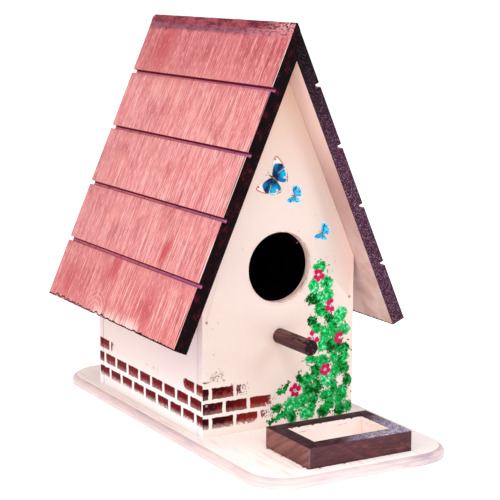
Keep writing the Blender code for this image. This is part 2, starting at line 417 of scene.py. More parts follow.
def round_back_corner(shape, radius=4.0 * MM, cuts=4):
    """Planes the upper back corner round at the ridge, with cuts that all touch one circle."""
    back, top = (max(vert.co[axis] for vert in shape.verts) for axis in (1, 2))
    middle = Vector((0, back - radius, top - radius))
    for number in range(1, cuts + 1):
        angle = radians(90.0 * number / (cuts + 1))
        way = Vector((0, sin(angle), cos(angle)))
        everything = shape.verts[:] + shape.edges[:] + shape.faces[:]
        cut = bmesh.ops.bisect_plane(
            shape, geom=everything, dist=1e-7, plane_co=middle + way * radius, plane_no=way, clear_outer=True
        )
        open_edges = [e for e in cut["geom_cut"] if isinstance(e, bmesh.types.BMEdge)]
        bmesh.ops.holes_fill(shape, edges=open_edges, sides=0)


def ease_entrance(shape):
    """Rounds the entrance's outer rim more than a sawn edge: paint and birds wear it."""
    centre = Vector((HOLE.x, HOLE.z)) * MM

    def on_rim(vert):
        out = hypot(vert.co.x - centre.x, vert.co.z - centre.y) / MM
        return abs(out - HOLE_RADIUS) < 0.4 and vert.co.y / MM < FRONT_LOW.y + 0.1

    rim = [e for e in shape.edges if on_rim(e.verts[0]) and on_rim(e.verts[1])]
    bmesh.ops.bevel(
        shape, geom=rim, offset=0.95 * MM, offset_type="OFFSET", segments=4, profile=0.5, affect="EDGES"
    )
    print("eased", len(rim), "edges of the entrance")


def soft_board(node, material, width=0.45 * MM, shaper=None):
    shape = board_shape(node)
    if shaper:
        shaper(shape)
    soften(shape, width)
    obj = piece(node + "_wood", to_mesh(shape, node + "_wood"), material)
    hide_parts(node)
    print(obj.name, len(obj.data.polygons), "faces")
    return obj


# %% [markdown]
# ## Cream walls and their stamped bricks
# The walls have one coat of cream over thin wood, and the bricks were dabbed through a stencil with a
# nearly dry sponge: firm edges at the top, starved ones at the bottom, specks where the sponge ran out.
# A brick is therefore a product of masks: inside its course, inside its length, and under the sponge.
# The row's number comes from a floor, and every other course is pushed along by a modulo.

# %% Brick stencil

BRICK_DARK, BRICK_RED = chart(62, 2, 6), chart(142, 34, 34)


def stamped_bricks(p, along, up, course, spread, fade=(1.0, 0.45, 0.25)):
    """course: (first bottom, pitch, height, brick length, brick pitch, start, stagger). spread: 0 to 1.
    fade: how much the foot of the bricks starves in each of the three courses."""
    bottom, pitch, height, length, run, start, stagger = course
    v = up - bottom + (p.noise(3.0, detail=3.0, seed=3.1) - 0.5) * 1.8
    u = along - start + (p.noise(3.4, detail=3.0, seed=9.7) - 0.5) * 1.8
    row = (v / pitch).floor()
    rise = v - row * pitch
    across = (u - (row % 2.0) * stagger) % run
    cell = ((u - (row % 2.0) * stagger) / run).floor()
    inside = p.band(rise, 0.0, height, 0.22) * p.band(across, 0.0, length, 0.22)
    inside = inside * (row > -0.5) * (row < 2.5)
    # Each brick was stamped with more or less paint on the sponge.
    load = p.node("ShaderNodeTexWhiteNoise", {"noise_dimensions": "2D"}, Vector=p.vector(row, cell, 0.0))
    foot = fade[0] * (row < 0.5) + fade[1] * (row > 0.5) * (row < 1.5) + fade[2] * (row > 1.5)
    starved = p.ramp(rise, height * 0.62, 0.0) * foot
    pores = p.noise(0.9, detail=4.0, seed=5.0, roughness=0.7)
    sponge = pores * 0.7 + p.noise(3.0, detail=2.0, seed=7.0) * 0.3
    cover = spread * (0.86 + load * 0.2) - starved * 0.62
    printed = inside * p.ramp(sponge, 0.64 - cover * 0.46, 0.72 - cover * 0.46)
    patch = p.noise(2.6, detail=4.0, seed=1.3, roughness=0.6)
    top = p.ramp(rise, height * 0.2, height) * 0.16
    colour = p.mix(BRICK_RED, BRICK_DARK, p.ramp(patch + load * 0.16 + top, 0.48, 0.72))
    # Where the sponge ran dry, the paint is thin as well as broken.
    thin = p.ramp(rise + (sponge - 0.5) * 7.0, height * 0.5, 0.0) * foot
    return printed * (1.0 - thin * 0.42), p.mix(colour, chart(184, 74, 76), thin * 0.65)


# %% [markdown]
# The cream differs from wall to wall: painted shade, darker and warm, in the gable, painted light at the foot, cooler
# on the sides. Small functions lay these differences over one common coat, and each wall calls the ones that it needs.

# %% Cream paint

CREAM, CREAM_DEEP = (0.82, 0.672, 0.615), (0.745, 0.572, 0.50)
# Painted shade: the near black that stands for the house's unlit inside.
INSIDE_SHADE_DARK = chart(38, 22, 20)


def cream_coat(p):
    """Colour and height of the cream coat: faint brush lines over the wood's grain, a few specks, painted light at the
    foot and painted shade up in the gable.
    """
    cloud = p.noise(38.0, detail=3.0, seed=2.0)
    streak = p.noise(3.0, detail=3.0, stretch=(1, 1, 14), seed=4.0)
    colour = p.mix(CREAM, CREAM_DEEP, cloud * 0.5 + streak * 0.18)
    # Painted light toward the foot of the walls, and painted shade that grows darker and warmer up into the gable under
    # the roof.
    colour = p.mix(colour, (1.0, 0.86, 0.79), p.ramp(p.z, BASE_TOP + 56.0, BASE_TOP + 6.0) * 0.9)
    colour = p.mix(colour, (0.70, 0.565, 0.51), p.ramp(p.z, BASE_TOP + 88.0, BASE_TOP + 122.0) * 0.55)
    colour = p.mix(colour, (0.64, 0.38, 0.25), p.ramp(p.z, BASE_TOP + 140.0, BASE_TOP + 245.0) * 0.56)
    specks = p.ramp(p.noise(1.9, detail=1.0, seed=8.0), 0.80, 0.86) * 0.25
    colour = p.mix(colour, chart(150, 120, 110), specks)
    height = streak * 0.5 + p.noise(0.9, detail=3.0, seed=6.0) * 0.5
    return colour, height


def paint_inside_shade(p, colour, inward):
    """Painted shade: the inner faces are painted near black for the unlit inside of the house. inward is the depth in
    millimetres behind the wall's outer face.
    """
    return p.mix(colour, INSIDE_SHADE_DARK, p.ramp(inward, WALL_THICK - 0.35, WALL_THICK - 0.1))


def entrance_rim(p, colour):
    """The bore is painted pale, as painted light in its dim hollow, and streaky, with a worn brown line where it turns
    to the face.
    """
    from_hole = p.math("SQRT", p.x * p.x + (p.z - HOLE.z) * (p.z - HOLE.z)) - HOLE_RADIUS
    # The drill left its marks around the bore, so the grain is drawn out along z and x.
    grain = p.noise(1.1, detail=3.0, stretch=(9, 1, 9), seed=15.0)
    # Painted light: the bore's colours are lighter to lift the shade of the hollow.
    bore = p.mix(chart(255, 230, 220), chart(214, 164, 150), p.ramp(grain, 0.46, 0.64))
    colour = p.mix(colour, bore, p.ramp(from_hole, 0.3, 0.05))
    worn = p.band(from_hole, 0.05, 0.4, 0.15) * p.ramp(p.noise(7.0, seed=17.0), 0.35, 0.5)
    colour = p.mix(colour, chart(140, 96, 90), worn * 0.6)
    halo = p.band(from_hole, 1.2, 1.7, 0.3) * p.ramp(p.noise(9.0, seed=18.0), 0.4, 0.6) * 0.35
    return p.mix(colour, chart(214, 150, 138), halo)


def side_coat(p):
    """The sides' cream is cooler than the front's, with painted shade, greyer, under the eaves and painted light,
    almost white, at the foot.
    """
    colour, height = cream_coat(p)
    up = p.z - BASE_TOP
    colour = p.mix(colour, (0.78, 0.66, 0.655), 0.6)
    # Painted shade under the eaves, strongest toward the front.
    shade = p.ramp(up, 28.0, 64.0) * p.ramp(p.y, 70.0, -50.0)
    colour = p.mix(colour, (0.62, 0.52, 0.56), shade * 0.6)
    # Painted light: almost white at the foot.
    return p.mix(colour, (1.0, 0.95, 0.93), p.ramp(up, 36.0, 8.0) * 0.95), height


def wrap_sides(p, colour):
    """The front and back boards' own edges show on the sides of the house and take the sides' bricks."""
    for side in (-1, 1):
        printed, brick = side_bricks(p, side)
        edge = p.ramp(p.x * side, HALF_WIDTH - 0.25, HALF_WIDTH - 0.1)
        colour = p.mix(colour, p.mix(side_coat(p)[0], brick, printed), edge)
    return colour


def front_wall_paint():
    p = Paint("front_wall_cream", roughness=0.62, specular=0.05)
    up = p.z - BASE_TOP
    colour, height = cream_coat(p)
    # Painted light: a warmer tint over the lower front and along its right edge, which warms the perch's shadows and
    # the dimmer right side.
    warm_shadow_tint = p.most(p.ramp(up, 98.0, 40.0) * p.ramp(p.x, -55.0, 15.0), p.ramp(p.x, 36.0, 58.0))
    colour = p.mix(colour, (1.0, 0.74, 0.64), warm_shadow_tint * 0.5)
    course = (5.4, 10.3, 7.8, 16.5, 19.0, -52.8, 10.6)
    row_three, row_one = up > 25.0, up < 14.0
    spread = p.ramp(p.x + row_three * 24.0 + row_one * 6.0, 4.0, -20.0)
    printed, brick = stamped_bricks(p, p.x, up, course, spread, fade=(0.75, 0.3, 0.2))
    dark_end = p.ramp(p.x, -34.0, -58.0) * 0.85
    brick = p.mix(brick, chart(44, 8, 14), dark_end * p.ramp(p.noise(3.0, detail=2.0, seed=12.0), 0.3, 0.55))
    brick = p.mix(brick, chart(156, 44, 36), p.ramp(p.x, -44.0, -18.0) * 0.5)
    colour = p.mix(colour, brick, printed)
    # A thin smear of brick paint above the third course.
    smear = p.band(p.x, -54.0, -42.0, 3.0) * p.band(up, 37.0, 43.0, 2.5)
    smear = smear * p.ramp(p.noise(4.0, detail=4.0, seed=37.0), 0.45, 0.62)
    colour = p.mix(colour, chart(196, 140, 128), smear * 0.55)
    colour = entrance_rim(p, wrap_sides(p, colour))
    colour = paint_inside_shade(p, colour, p.y - FRONT_LOW.y)
    return p.finish(colour, height=height + printed * 0.6, depth=0.06)


def side_bricks(p, side):
    """The left wall is stamped along its whole length, with a third course only at both ends."""
    up = p.z - BASE_TOP
    along = p.y - FRONT_LOW.y
    course = (7.2, 10.75, 7.5, 16.3, 19.4, -8.2, 9.0)
    third = up > 27.5
    ends = p.most(p.ramp(along, 33.0, 20.0), p.ramp(along, 134.0, 148.0))
    spread = (1.0 - third) * 0.95 + third * ends * 0.85
    if side > 0:
        spread = spread * p.ramp(along, 40.0, 95.0)
    printed, brick = stamped_bricks(p, along, up, course, spread, fade=(0.8, 0.42, 0.4))
    return printed, p.mix(brick, chart(118, 0, 18), 0.6)


def side_wall_paint(side):
    p = Paint("left_wall_cream" if side < 0 else "right_wall_cream", roughness=0.62, specular=0.05)
    colour, height = side_coat(p)
    printed, brick = side_bricks(p, side)
    colour = p.mix(colour, brick, printed)
    smudge = p.noise(7.0, detail=4.0, seed=19.0)
    above = p.band(p.y, FRONT_LOW.y + 68.0, FRONT_LOW.y + 88.0, 4.0)
    above = above * p.band(p.z, BASE_TOP + 28.5, BASE_TOP + 33.0, 1.0)
    colour = p.mix(colour, chart(190, 128, 132), above * p.ramp(smudge, 0.5, 0.62) * 0.7)
    colour = paint_inside_shade(p, colour, HALF_WIDTH - side * p.x)
    return p.finish(colour, height=height + printed * 0.6, depth=0.06)


def back_wall_paint():
    p = Paint("back_wall_cream", roughness=0.62, specular=0.05)
    up = p.z - BASE_TOP
    colour, height = cream_coat(p)
    course = (6.5, 10.5, 7.2, 16.2, 19.2, -60.0, 9.6)
    spread = p.ramp(abs(p.x), 12.0, 34.0) * (1.0 - (up > 27.0) * p.ramp(abs(p.x), 52.0, 40.0))
    printed, brick = stamped_bricks(p, p.x, up, course, spread)
    colour = wrap_sides(p, p.mix(colour, brick, printed))
    colour = paint_inside_shade(p, colour, BACK_HIGH.y - p.y)
    return p.finish(colour, height=height + printed * 0.6, depth=0.06)


soft_board("front_wall", front_wall_paint(), 0.3 * MM, ease_entrance)
back_board = soft_board("back_wall", back_wall_paint(), 0.07 * MM)
flatten_broad_faces(back_board.data)
soft_board("left_wall", side_wall_paint(-1), 0.07 * MM)
soft_board("right_wall", side_wall_paint(1), 0.07 * MM)

# %% [markdown]
# ## Base board
# The base is a bought plaque with a routed edge. It has the same cream, thinned to nearly white on top,
# and its routed edge is greyer, with painted shade that deepens toward the right and along the router's step.

# %% Base board


def tray_seep(p):
    """A thin dark line of the tray's paint at its foot, with a few bits pushed out."""
    beside = p.math("MAXIMUM", TRAY_LOW.x - p.x, p.x - TRAY_BACK_HIGH.x)
    before = p.math("MAXIMUM", TRAY_LOW.y - p.y, p.y - TRAY_BACK_HIGH.y)
    away = p.math("MAXIMUM", beside, before)
    bits = p.ramp(p.noise(4.5, detail=2.0, stretch=(1, 1, 0.2), seed=83.0), 0.58, 0.66) * 1.5
    return p.band(away - bits, -2.0, 0.3, 0.15)


def base_paint():
    p = Paint("base_cream", roughness=0.5)
    colour, height = cream_coat(p)
    colour = p.mix(colour, (1.0, 0.91, 0.87), 0.93)
    streak = p.noise(1.6, detail=3.0, stretch=(1, 16, 1), seed=12.0)
    colour = p.mix(colour, chart(240, 200, 180), p.ramp(streak, 0.54, 0.70) * 0.55)
    # Painted shade: the top and the edge turn greyer toward the right, away from the lamps.
    right = p.ramp(p.x, 10.0, 60.0)
    colour = p.mix(colour, (0.84, 0.74, 0.735), right * 0.5)
    light = p.mix(chart(234, 212, 208), chart(224, 202, 202), right)
    grey = p.mix(chart(220, 198, 202), chart(182, 160, 170), right)
    edge = p.mix(light, grey, p.ramp(p.noise(5.0, detail=3.0, stretch=(4, 4, 0.3), seed=7.0), 0.4, 0.65))
    colour = p.mix(colour, edge, p.ramp(p.z, BASE_TOP - 0.15, BASE_TOP - 0.7))
    # Painted shade along the router's step and the rounded arris.
    step = p.band(p.z, BASE_TOP - 3.9, BASE_TOP - 3.0, 0.25)
    arris = p.band(p.z, BASE_TOP - 1.1, BASE_TOP - 0.45, 0.15)
    colour = p.mix(colour, chart(204, 178, 178), p.most(step, arris * 0.7) * (0.35 + right * 0.4))
    colour = p.mix(colour, chart(70, 44, 50), tray_seep(p) * p.ramp(p.z, BASE_TOP - 0.4, BASE_TOP - 0.1))
    return p.finish(colour, height=height, depth=0.05)


soft_board("base_board", base_paint(), width=0.2 * MM)

# %% [markdown]
# ## Roof boards
# The wash was brushed down the slope, so its streaks run that way, thin and pale in places. It could be
# painted on an unwrapped board as an image, but that blurs close up. Here each mask is a distance in the
# board's own terms: `down` from the ridge along the slope, `deep` below the outer face, and `step` from
# the saw cut above. A class of its own keeps those measures, and the brush marks that several masks share.

# %% The roof's own measures

PITCH = atan2(FRONT_HIGH.z - box_mm("left_wall")[1].z, HALF_WIDTH)
KERF_DEEP, KERF_PITCH = 3.2, 45.3
print(f"roof pitch {degrees(PITCH):.1f} degrees")


def slope_of(side):
    """Ridge height of the outer face's plane, slope length, thickness, and where the first cut starts."""
    points = np.array([v.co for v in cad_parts[f"{side}_roof_board"].data.vertices]) / MM
    across = np.abs(points[:, 0])
    out = across * sin(PITCH) + points[:, 2] * cos(PITCH)
    top = out.max() / cos(PITCH)
    down = across * cos(PITCH) - (points[:, 2] - top) * sin(PITCH)
    floors = np.abs(out.max() - out - KERF_DEEP) < 0.05
    return top, down.max(), out.max() - out.min(), down[floors].min()


class RoofPaint(Paint):
    """Paint for one roof board, measured along its slope."""

    def __init__(self, side):
        super().__init__(f"{side}_roof_rose", roughness=0.6, specular=0.06)
        self.side = side
        self.top, self.length, self.thick, self.kerf = slope_of(side)
        self.across = self.x * (-1.0 if side == "left" else 1.0)
        self.down = self.across * cos(PITCH) - (self.z - self.top) * sin(PITCH)
        self.deep = (self.across * sin(PITCH) + (self.z - self.top) * cos(PITCH)) * -1.0
        self.step = (self.down - self.kerf) % KERF_PITCH
        self.board = self.vector(self.y, self.down, 0.0)
        self.fine = self.brushed(1.15, (1, 40), 2.0, detail=4.0, roughness=0.55)
        self.medium = self.brushed(5.0, (1, 9), 5.0)
        self.under = self.ramp(self.deep, self.thick - 0.9, self.thick - 0.5)
        front_end = self.ramp(self.y, ROOF_LOW.y + 0.4, ROOF_LOW.y + 0.1)
        back_end = self.ramp(self.y, ROOF_HIGH.y - 0.4, ROOF_HIGH.y - 0.1)
        self.end = self.most(front_end, back_end)

    def brushed(self, size, stretch, seed, detail=3.0, roughness=0.5):
        """Noise on the board's face. stretch: (along the ridge, down the slope)."""
        return self.noise(size, detail, (*stretch, 1), seed, self.board, roughness)


# %% [markdown]
# ## The rose wash
# A wash is a pale ground with darker and lighter strokes over it, each from a noise that is drawn out down
# the slope. The brush was full near the ridge, ran dry toward the front, and was pressed in a few places.
# Those places are a short list, so that each keeps its own size and strength.

# %% Rose wash

# Places where the brush was pressed: along the ridge, down the slope, size, and how strongly.
PRESSED = [
    (43, 191, 12, 0.8), (104, 212, 15, 0.6), (-17, 167, 12, 0.8), (-24, 212, 12, 0.7), (96, 24, 26, 0.6),
]


def brush_strokes(p):
    """Ground, clouds of darker wash, and thin strokes down the slope."""
    hair, cloud = p.brushed(0.62, (1, 60), 14.0), p.brushed(24.0, (1, 1.3), 9.0)
    down, fine, medium = p.down, p.fine, p.medium
    wash = p.mix(chart(208, 120, 123), chart(226, 154, 152), p.ramp(fine * 0.4 + medium * 0.6, 0.40, 0.62))
    peach = p.ramp(p.brushed(34.0, (1, 1), 19.0, detail=2.0), 0.52, 0.68)
    wash = p.mix(wash, chart(228, 150, 136), peach * 0.3)
    wash = p.mix(wash, chart(176, 78, 84), p.ramp(cloud * 0.7 + medium * 0.3, 0.52, 0.64) * 0.55)
    heavy = p.ramp(down, 62.0, 30.0) * 0.78 + p.ramp(p.y, 30.0, -70.0) * 0.2
    wash = p.mix(wash, chart(170, 74, 80), heavy * p.ramp(medium * 0.5 + fine * 0.5, 0.36, 0.60))
    wash = p.mix(wash, chart(202, 84, 88), p.ramp(down, 172.0, 205.0) * 0.6 * p.ramp(medium, 0.36, 0.60))
    # Each course between two cuts is darker just below the cut above it.
    wash = p.mix(wash, chart(160, 74, 82), p.ramp(p.step + medium * 14.0, 15.0, 8.0) * 0.35)
    wash = p.mix(wash, chart(160, 70, 78), p.ramp(fine, 0.53, 0.68) * 0.7)
    pale = p.ramp(fine, 0.43, 0.31) * (0.28 + p.ramp(down, 24.0, 66.0) * 0.42)
    wash = p.mix(wash, chart(255, 210, 200), pale)
    # The brush ran dry toward the front, so the pale hairs of the wood show more there.
    dry = (0.32 + p.ramp(p.y, 90.0, -20.0) * 0.36) * p.ramp(down, 20.0, 60.0)
    wash = p.mix(wash, chart(255, 222, 214), p.ramp(hair, 0.56, 0.68) * (0.1 + dry))
    wash = p.mix(wash, chart(146, 62, 72), p.ramp(hair, 0.44, 0.32) * 0.6)
    # Short strokes, where the bristles skipped on the sawn grain.
    tooth = p.brushed(0.9, (1, 6), 101.0, detail=2.0)
    wash = p.mix(wash, chart(164, 78, 86), p.ramp(tooth, 0.55, 0.66) * 0.4)
    return p.mix(wash, chart(255, 200, 192), p.ramp(tooth, 0.44, 0.34) * 0.35)


def pressed_patches(p, wash):
    """The brush was pressed here and there and left a redder patch."""
    for at_y, at_down, size, depth in PRESSED:
        run, fall = (p.y - at_y) / size, (p.down - at_down) / (size * 1.5)
        press = p.ramp(p.math("SQRT", run * run + fall * fall) + p.medium * 1.2, 1.5, 0.7)
        wash = p.mix(wash, chart(182, 48, 60), press * p.ramp(p.fine, 0.68, 0.46) * depth)
    return wash


def front_arris(p, wash):
    """Along the front the wash is chipped dark, rubbed pale or dragged over by the end's paint."""
    front, ragged = ROOF_LOW.y, p.fine * 0.5 + p.medium * 0.5
    chip = ragged + p.medium * 0.3 + p.band(p.down, 30.0, 96.0, 20.0) * 0.08
    chips = p.band(p.y, front - 1.0, front + 2.2, 0.4) * p.ramp(chip, 0.68, 0.74)
    wash = p.mix(wash, chart(70, 22, 32), chips * 0.8)
    rubbed = p.ramp(p.y, front + 1.4, front + 0.8) * p.ramp(ragged, 0.44, 0.54)
    wash = p.mix(wash, chart(248, 228, 222), rubbed * 0.75)
    dragged = p.ramp(p.y, front + 2.6, front + 1.6) * p.band(p.down, p.kerf + 2.0, p.kerf + 24.0, 3.0)
    return p.mix(wash, chart(120, 66, 84), dragged * 0.8)


# %% [markdown]
# ## Dark paint on the roof
# The ridge was painted over in maroon, and the saw cuts, the ends and the eave took more paint than the
# faces; the saw cuts' dark upper line is also painted shade. Separate materials on separate faces would give these
# parts ruler-straight borders. Masks that waver with a noise give the borders that a brush leaves, and one board keeps
# one material.

# %% Ridge and saw cuts


def ridge_band(p, wash):
    """Maroon over the ridge, thin at the front, with a mauve, sandy lower edge."""
    sandy = p.brushed(1.4, (3, 1), 21.0, detail=4.0, roughness=0.6)
    reach = p.down + (p.brushed(3.5, (2, 1), 23.0, detail=4.0) - 0.5) * 7.0
    broad = p.brushed(9.0, (2, 1), 22.0)
    band = p.mix(chart(98, 36, 52), chart(158, 74, 84), p.ramp(sandy * 0.5 + broad * 0.5, 0.40, 0.60))
    grit = p.brushed(1.3, (2, 1), 31.0, detail=4.0) * 0.6 + broad * 0.4
    band = p.mix(band, chart(122, 92, 118), p.band(reach, 5.0, 11.5, 2.0) * p.ramp(grit, 0.46, 0.54) * 0.7)
    worn = p.ramp(p.y, ROOF_LOW.y + 80.0, ROOF_LOW.y + 5.0) * p.ramp(sandy, 0.36, 0.54) * 0.7
    band = p.mix(band, chart(222, 142, 142), worn)
    return p.mix(wash, band, p.ramp(reach, 13.0, 9.0) * 0.92)


def saw_cuts(p, colour):
    """A dark upper line of dark paint and painted shade under the cut's upper wall, then rose, painted lighter against
    the cut's shade, then a dull lip. Toward the front the rose turns lilac.
    """
    lilac = p.ramp(p.y, 60.0, -76.0)
    spots = p.ramp(p.brushed(2.0, (3, 1), 41.0), 0.52, 0.62) * 0.6
    middle = p.mix(p.mix(chart(240, 136, 158), chart(214, 130, 178), lilac), chart(168, 84, 108), spots)
    lip = p.mix(chart(206, 104, 122), chart(176, 92, 134), lilac)
    # Painted shade: the upper line stands for the shade under the cut's upper wall, over darker paint.
    groove = p.mix(chart(112, 30, 52), middle, p.ramp(p.step, 0.85, 1.25))
    groove = p.mix(groove, lip, p.ramp(p.step, 2.1, 2.5))
    return p.mix(colour, groove, p.ramp(p.deep, 0.3, 0.55))


# %% Underside, ends and eave


def underside(p, colour):
    """The underside's cream is tinted peach as painted reflected light, with painted light and shade that change down
    the slope, and painted near black within the walls as painted shade of the dark inside.
    """
    coat = p.mix(chart(230, 202, 196), chart(212, 174, 164), p.ramp(p.noise(14.0, 3.0, seed=51.0), 0.35, 0.65))
    # Painted light and shade: darker up the slope, lighter again toward the ridge.
    coat = p.mix(coat, chart(190, 150, 142), p.ramp(p.down, p.length * 0.85, p.length * 0.55) * 0.9)
    coat = p.mix(coat, chart(228, 198, 188), p.ramp(p.down, p.length * 0.55, p.length * 0.3))
    behind_front = p.ramp(p.y, FRONT_LOW.y - 0.3, FRONT_LOW.y + 0.3)
    before_back = p.ramp(p.y, BACK_HIGH.y + 0.3, BACK_HIGH.y - 0.3)
    # Painted shade: near black within the walls, for the house's unlit inside.
    within = p.ramp(p.across, HALF_WIDTH + 0.2, HALF_WIDTH - 0.2) * behind_front * before_back
    return p.mix(colour, p.mix(coat, chart(52, 18, 22), within), p.under)


def end_grain(p, colour):
    """The ends drank the darkest paint. The left one has red clumps, the right one a mauve dust."""
    dust = p.noise(0.6, detail=1.0, seed=61.0)
    if p.side == "left":
        red = p.ramp(dust * 0.5 + p.noise(6.0, seed=63.0) * 0.5, 0.54, 0.66) * 0.6
        return p.mix(colour, p.mix(chart(9, 0, 3), chart(104, 20, 38), red), p.end)
    coat = p.mix(chart(2, 0, 0), chart(60, 28, 46), p.ramp(p.down, 10.0, 110.0))
    thick_dust = p.ramp(p.down, 20.0, 120.0) * 0.54 + 0.1
    return p.mix(colour, p.mix(coat, chart(168, 132, 154), p.ramp(dust, 0.54, 0.70) * thick_dust), p.end)


def eave(p, colour):
    """A dark line that wanders along the lower edge, rubbed pale near the middle, and faint growth rings."""
    wander = p.noise(10.0, at=p.vector(p.y, 0.0, 0.0), seed=81.0)
    back, face = p.ramp(p.y, -10.0, 60.0), 1.0 - p.end
    low_edge = p.length - 0.55 - abs(wander - 0.5) * (6.0 + back * 8.0)
    below = p.ramp(p.down, low_edge - 0.3, low_edge + 0.1)
    rubbed = p.band(p.y, -20.0, 52.0, 8.0) * p.ramp(wander + p.medium * 0.3, 0.52, 0.64)
    smear = rubbed * p.ramp(p.down + p.medium * 14.0, p.length - 3.0, p.length + 6.0)
    smear = smear * p.ramp(p.fine, 0.62, 0.42) * face * (1.0 - p.under) * 0.95
    colour = p.mix(colour, chart(255, 226, 220), smear)
    lower = p.ramp(p.down, low_edge + 0.8, low_edge + 1.2) * p.most(back, rubbed)
    line = p.mix(chart(48, 12, 24), p.mix(chart(206, 128, 124), chart(236, 204, 200), rubbed), lower)
    colour = p.mix(colour, line, below * face)
    run, fall = p.y - 52.0, p.down - p.length
    rings = p.math("SQRT", run * run + fall * fall) + p.medium * 4.0
    arcs = p.band(rings % 3.6, 0.0, 1.2, 0.5) * p.band(rings, 7.0, 19.0, 3.0) * p.ramp(p.deep, 0.3, 0.1)
    return p.mix(colour, chart(248, 210, 204), arcs * (1.0 - below) * 0.3)


# %% Paint both roof boards


def rose_wash(side):
    p = RoofPaint(side)
    colour = brush_strokes(p)
    for layer in (pressed_patches, front_arris, ridge_band, saw_cuts, underside, end_grain, eave):
        colour = layer(p, colour)
    grain = p.brushed(0.8, (1, 30), 71.0, detail=4.0)
    return p.finish(colour, height=grain * 0.6 + p.fine * 0.4, depth=0.14)


for side in ("left", "right"):
    soft_board(f"{side}_roof_board", rose_wash(side), shaper=round_back_corner)

# %% [markdown]
# ## Filler along the ridge
# The two boards only touch at the ridge, and a bead of filler closes the line. It was wiped on with a
# finger, so its height and its lower edges waver. A section is swept along the ridge, and the noise moves
# each station of it. The same cuts that round the boards' back corner round the bead's.

# %% Ridge bead


def bead_station(along, top):
    """The bead's section at one place along the ridge, from the left foot over the top to the right one."""
    lift = noise.noise(Vector((along / 9.0, 1.5, 0.0))) * 0.16
    lift += noise.noise(Vector((along / 2.5, 4.5, 0.0))) * 0.07
    half = [(2.62, -5.6), (2.4, -4.55), (1.9, -3.4), (1.3, -2.05), (0.8, -1.0), (0.4, -0.3)]
    section = [(-x, z) for x, z in half] + [(0.0, 0.0)] + [(x, z) for x, z in reversed(half)]
    wide = 1.0 + noise.noise(Vector((along / 5.0, 7.5, 0.0))) * 0.05
    return [Vector((x * wide, along, top + z + lift)) * MM for x, z in section]


def ridge_bead(stations=104):
    top, back = ROOF_HIGH.z + 1.05, ROOF_HIGH.y + 0.25
    front = ROOF_LOW.y - 0.1
    shape = bmesh.new()
    rings = []
    for number in range(stations + 1):
        along = front + (back - front) * number / stations
        rings.append([shape.verts.new(place) for place in bead_station(along, top)])
    for first, second in zip(rings, rings[1:]):
        for i in range(len(first)):
            j = (i + 1) % len(first)
            shape.faces.new((first[i], first[j], second[j], second[i]))
    shape.faces.new(rings[0][::-1])
    shape.faces.new(rings[-1])
    bmesh.ops.recalc_face_normals(shape, faces=shape.faces)
    round_back_corner(shape)
    return to_mesh(shape, "ridge_bead", sharp=radians(60))


def bead_paint():
    p = Paint("ridge_filler_maroon", roughness=0.6, specular=0.06)
    sandy = p.noise(1.3, detail=4.0, stretch=(1, 3, 1), seed=21.0, roughness=0.6)
    broad = p.noise(9.0, detail=3.0, stretch=(1, 2, 1), seed=22.0)
    colour = p.mix(chart(92, 30, 46), chart(156, 74, 84), p.ramp(sandy * 0.5 + broad * 0.5, 0.38, 0.60))
    front = p.ramp(p.y, ROOF_LOW.y + 45.0, ROOF_LOW.y + 5.0)
    colour = p.mix(colour, chart(232, 176, 174), front * p.ramp(sandy, 0.40, 0.56) * 0.7)
    nicks = p.ramp(p.noise(3.0, detail=2.0, stretch=(1, 2, 1), seed=35.0), 0.62, 0.66) * front
    colour = p.mix(colour, chart(40, 10, 22), nicks)
    tip = p.ramp(p.y, ROOF_LOW.y + 0.6, ROOF_LOW.y + 0.2)
    colour = p.mix(colour, chart(30, 8, 16), tip)
    return p.finish(colour, height=sandy, depth=0.1)


bead = piece("ridge_bead", ridge_bead(), bead_paint())
print(bead.name, len(bead.data.polygons), "faces")

# %% [markdown]
# ## Perch and tray
# Both are dark brown paint with a low sheen, thin enough for the wood to show red in places. Inside, the
# tray is cream, and the brown laps over the rim in ragged brush ends.

# %% Umber paint

UMBER, UMBER_RED = chart(78, 44, 48), chart(128, 62, 66)


def umber_coat(p, along):
    """along: stretch of the brush marks on each axis."""
    brush = p.noise(1.4, detail=4.0, stretch=along, seed=3.0, roughness=0.6)
    thin = p.ramp(p.noise(7.0, detail=3.0, stretch=along, seed=13.0), 0.55, 0.75)
    colour = p.mix(chart(58, 30, 36), UMBER, p.ramp(brush, 0.35, 0.6))
    return p.mix(colour, UMBER_RED, thin * p.ramp(brush, 0.45, 0.65)), brush


def tray_faces(p):
    """The outer faces: sweeps of a loaded brush, painted lighter and redder on the left face as painted light, and a
    painted highlight on the near corner.
    """
    colour, brush = umber_coat(p, (5, 5, 1))
    sweep = p.noise(6.0, detail=3.0, seed=53.0, at=p.vector(p.x + p.y + p.z * 1.6, p.z * 0.3, 0.0))
    colour = p.mix(colour, chart(122, 66, 66), p.ramp(sweep * 0.8 + brush * 0.2, 0.50, 0.66) * 0.35)
    colour = p.mix(colour, chart(150, 96, 100), p.ramp(p.z, TRAY_TOP - 0.2, TRAY_TOP - 0.6) * 0.14)
    # Painted light: the outer left face, which the side lamp lights, is painted a lighter brown.
    left = p.ramp(p.x, TRAY_LOW.x + 0.5, TRAY_LOW.x + 0.2)
    redder = p.mix(chart(120, 76, 70), chart(154, 102, 94), p.ramp(sweep, 0.4, 0.6))
    colour = p.mix(colour, redder, left * 0.85)
    # Painted highlight: a pale mauve line down the near corner.
    corner = p.ramp(abs(p.x - TRAY_LOW.x) + abs(p.y - TRAY_LOW.y), 1.3, 0.5)
    return p.mix(colour, chart(120, 100, 122), corner * 0.45), brush


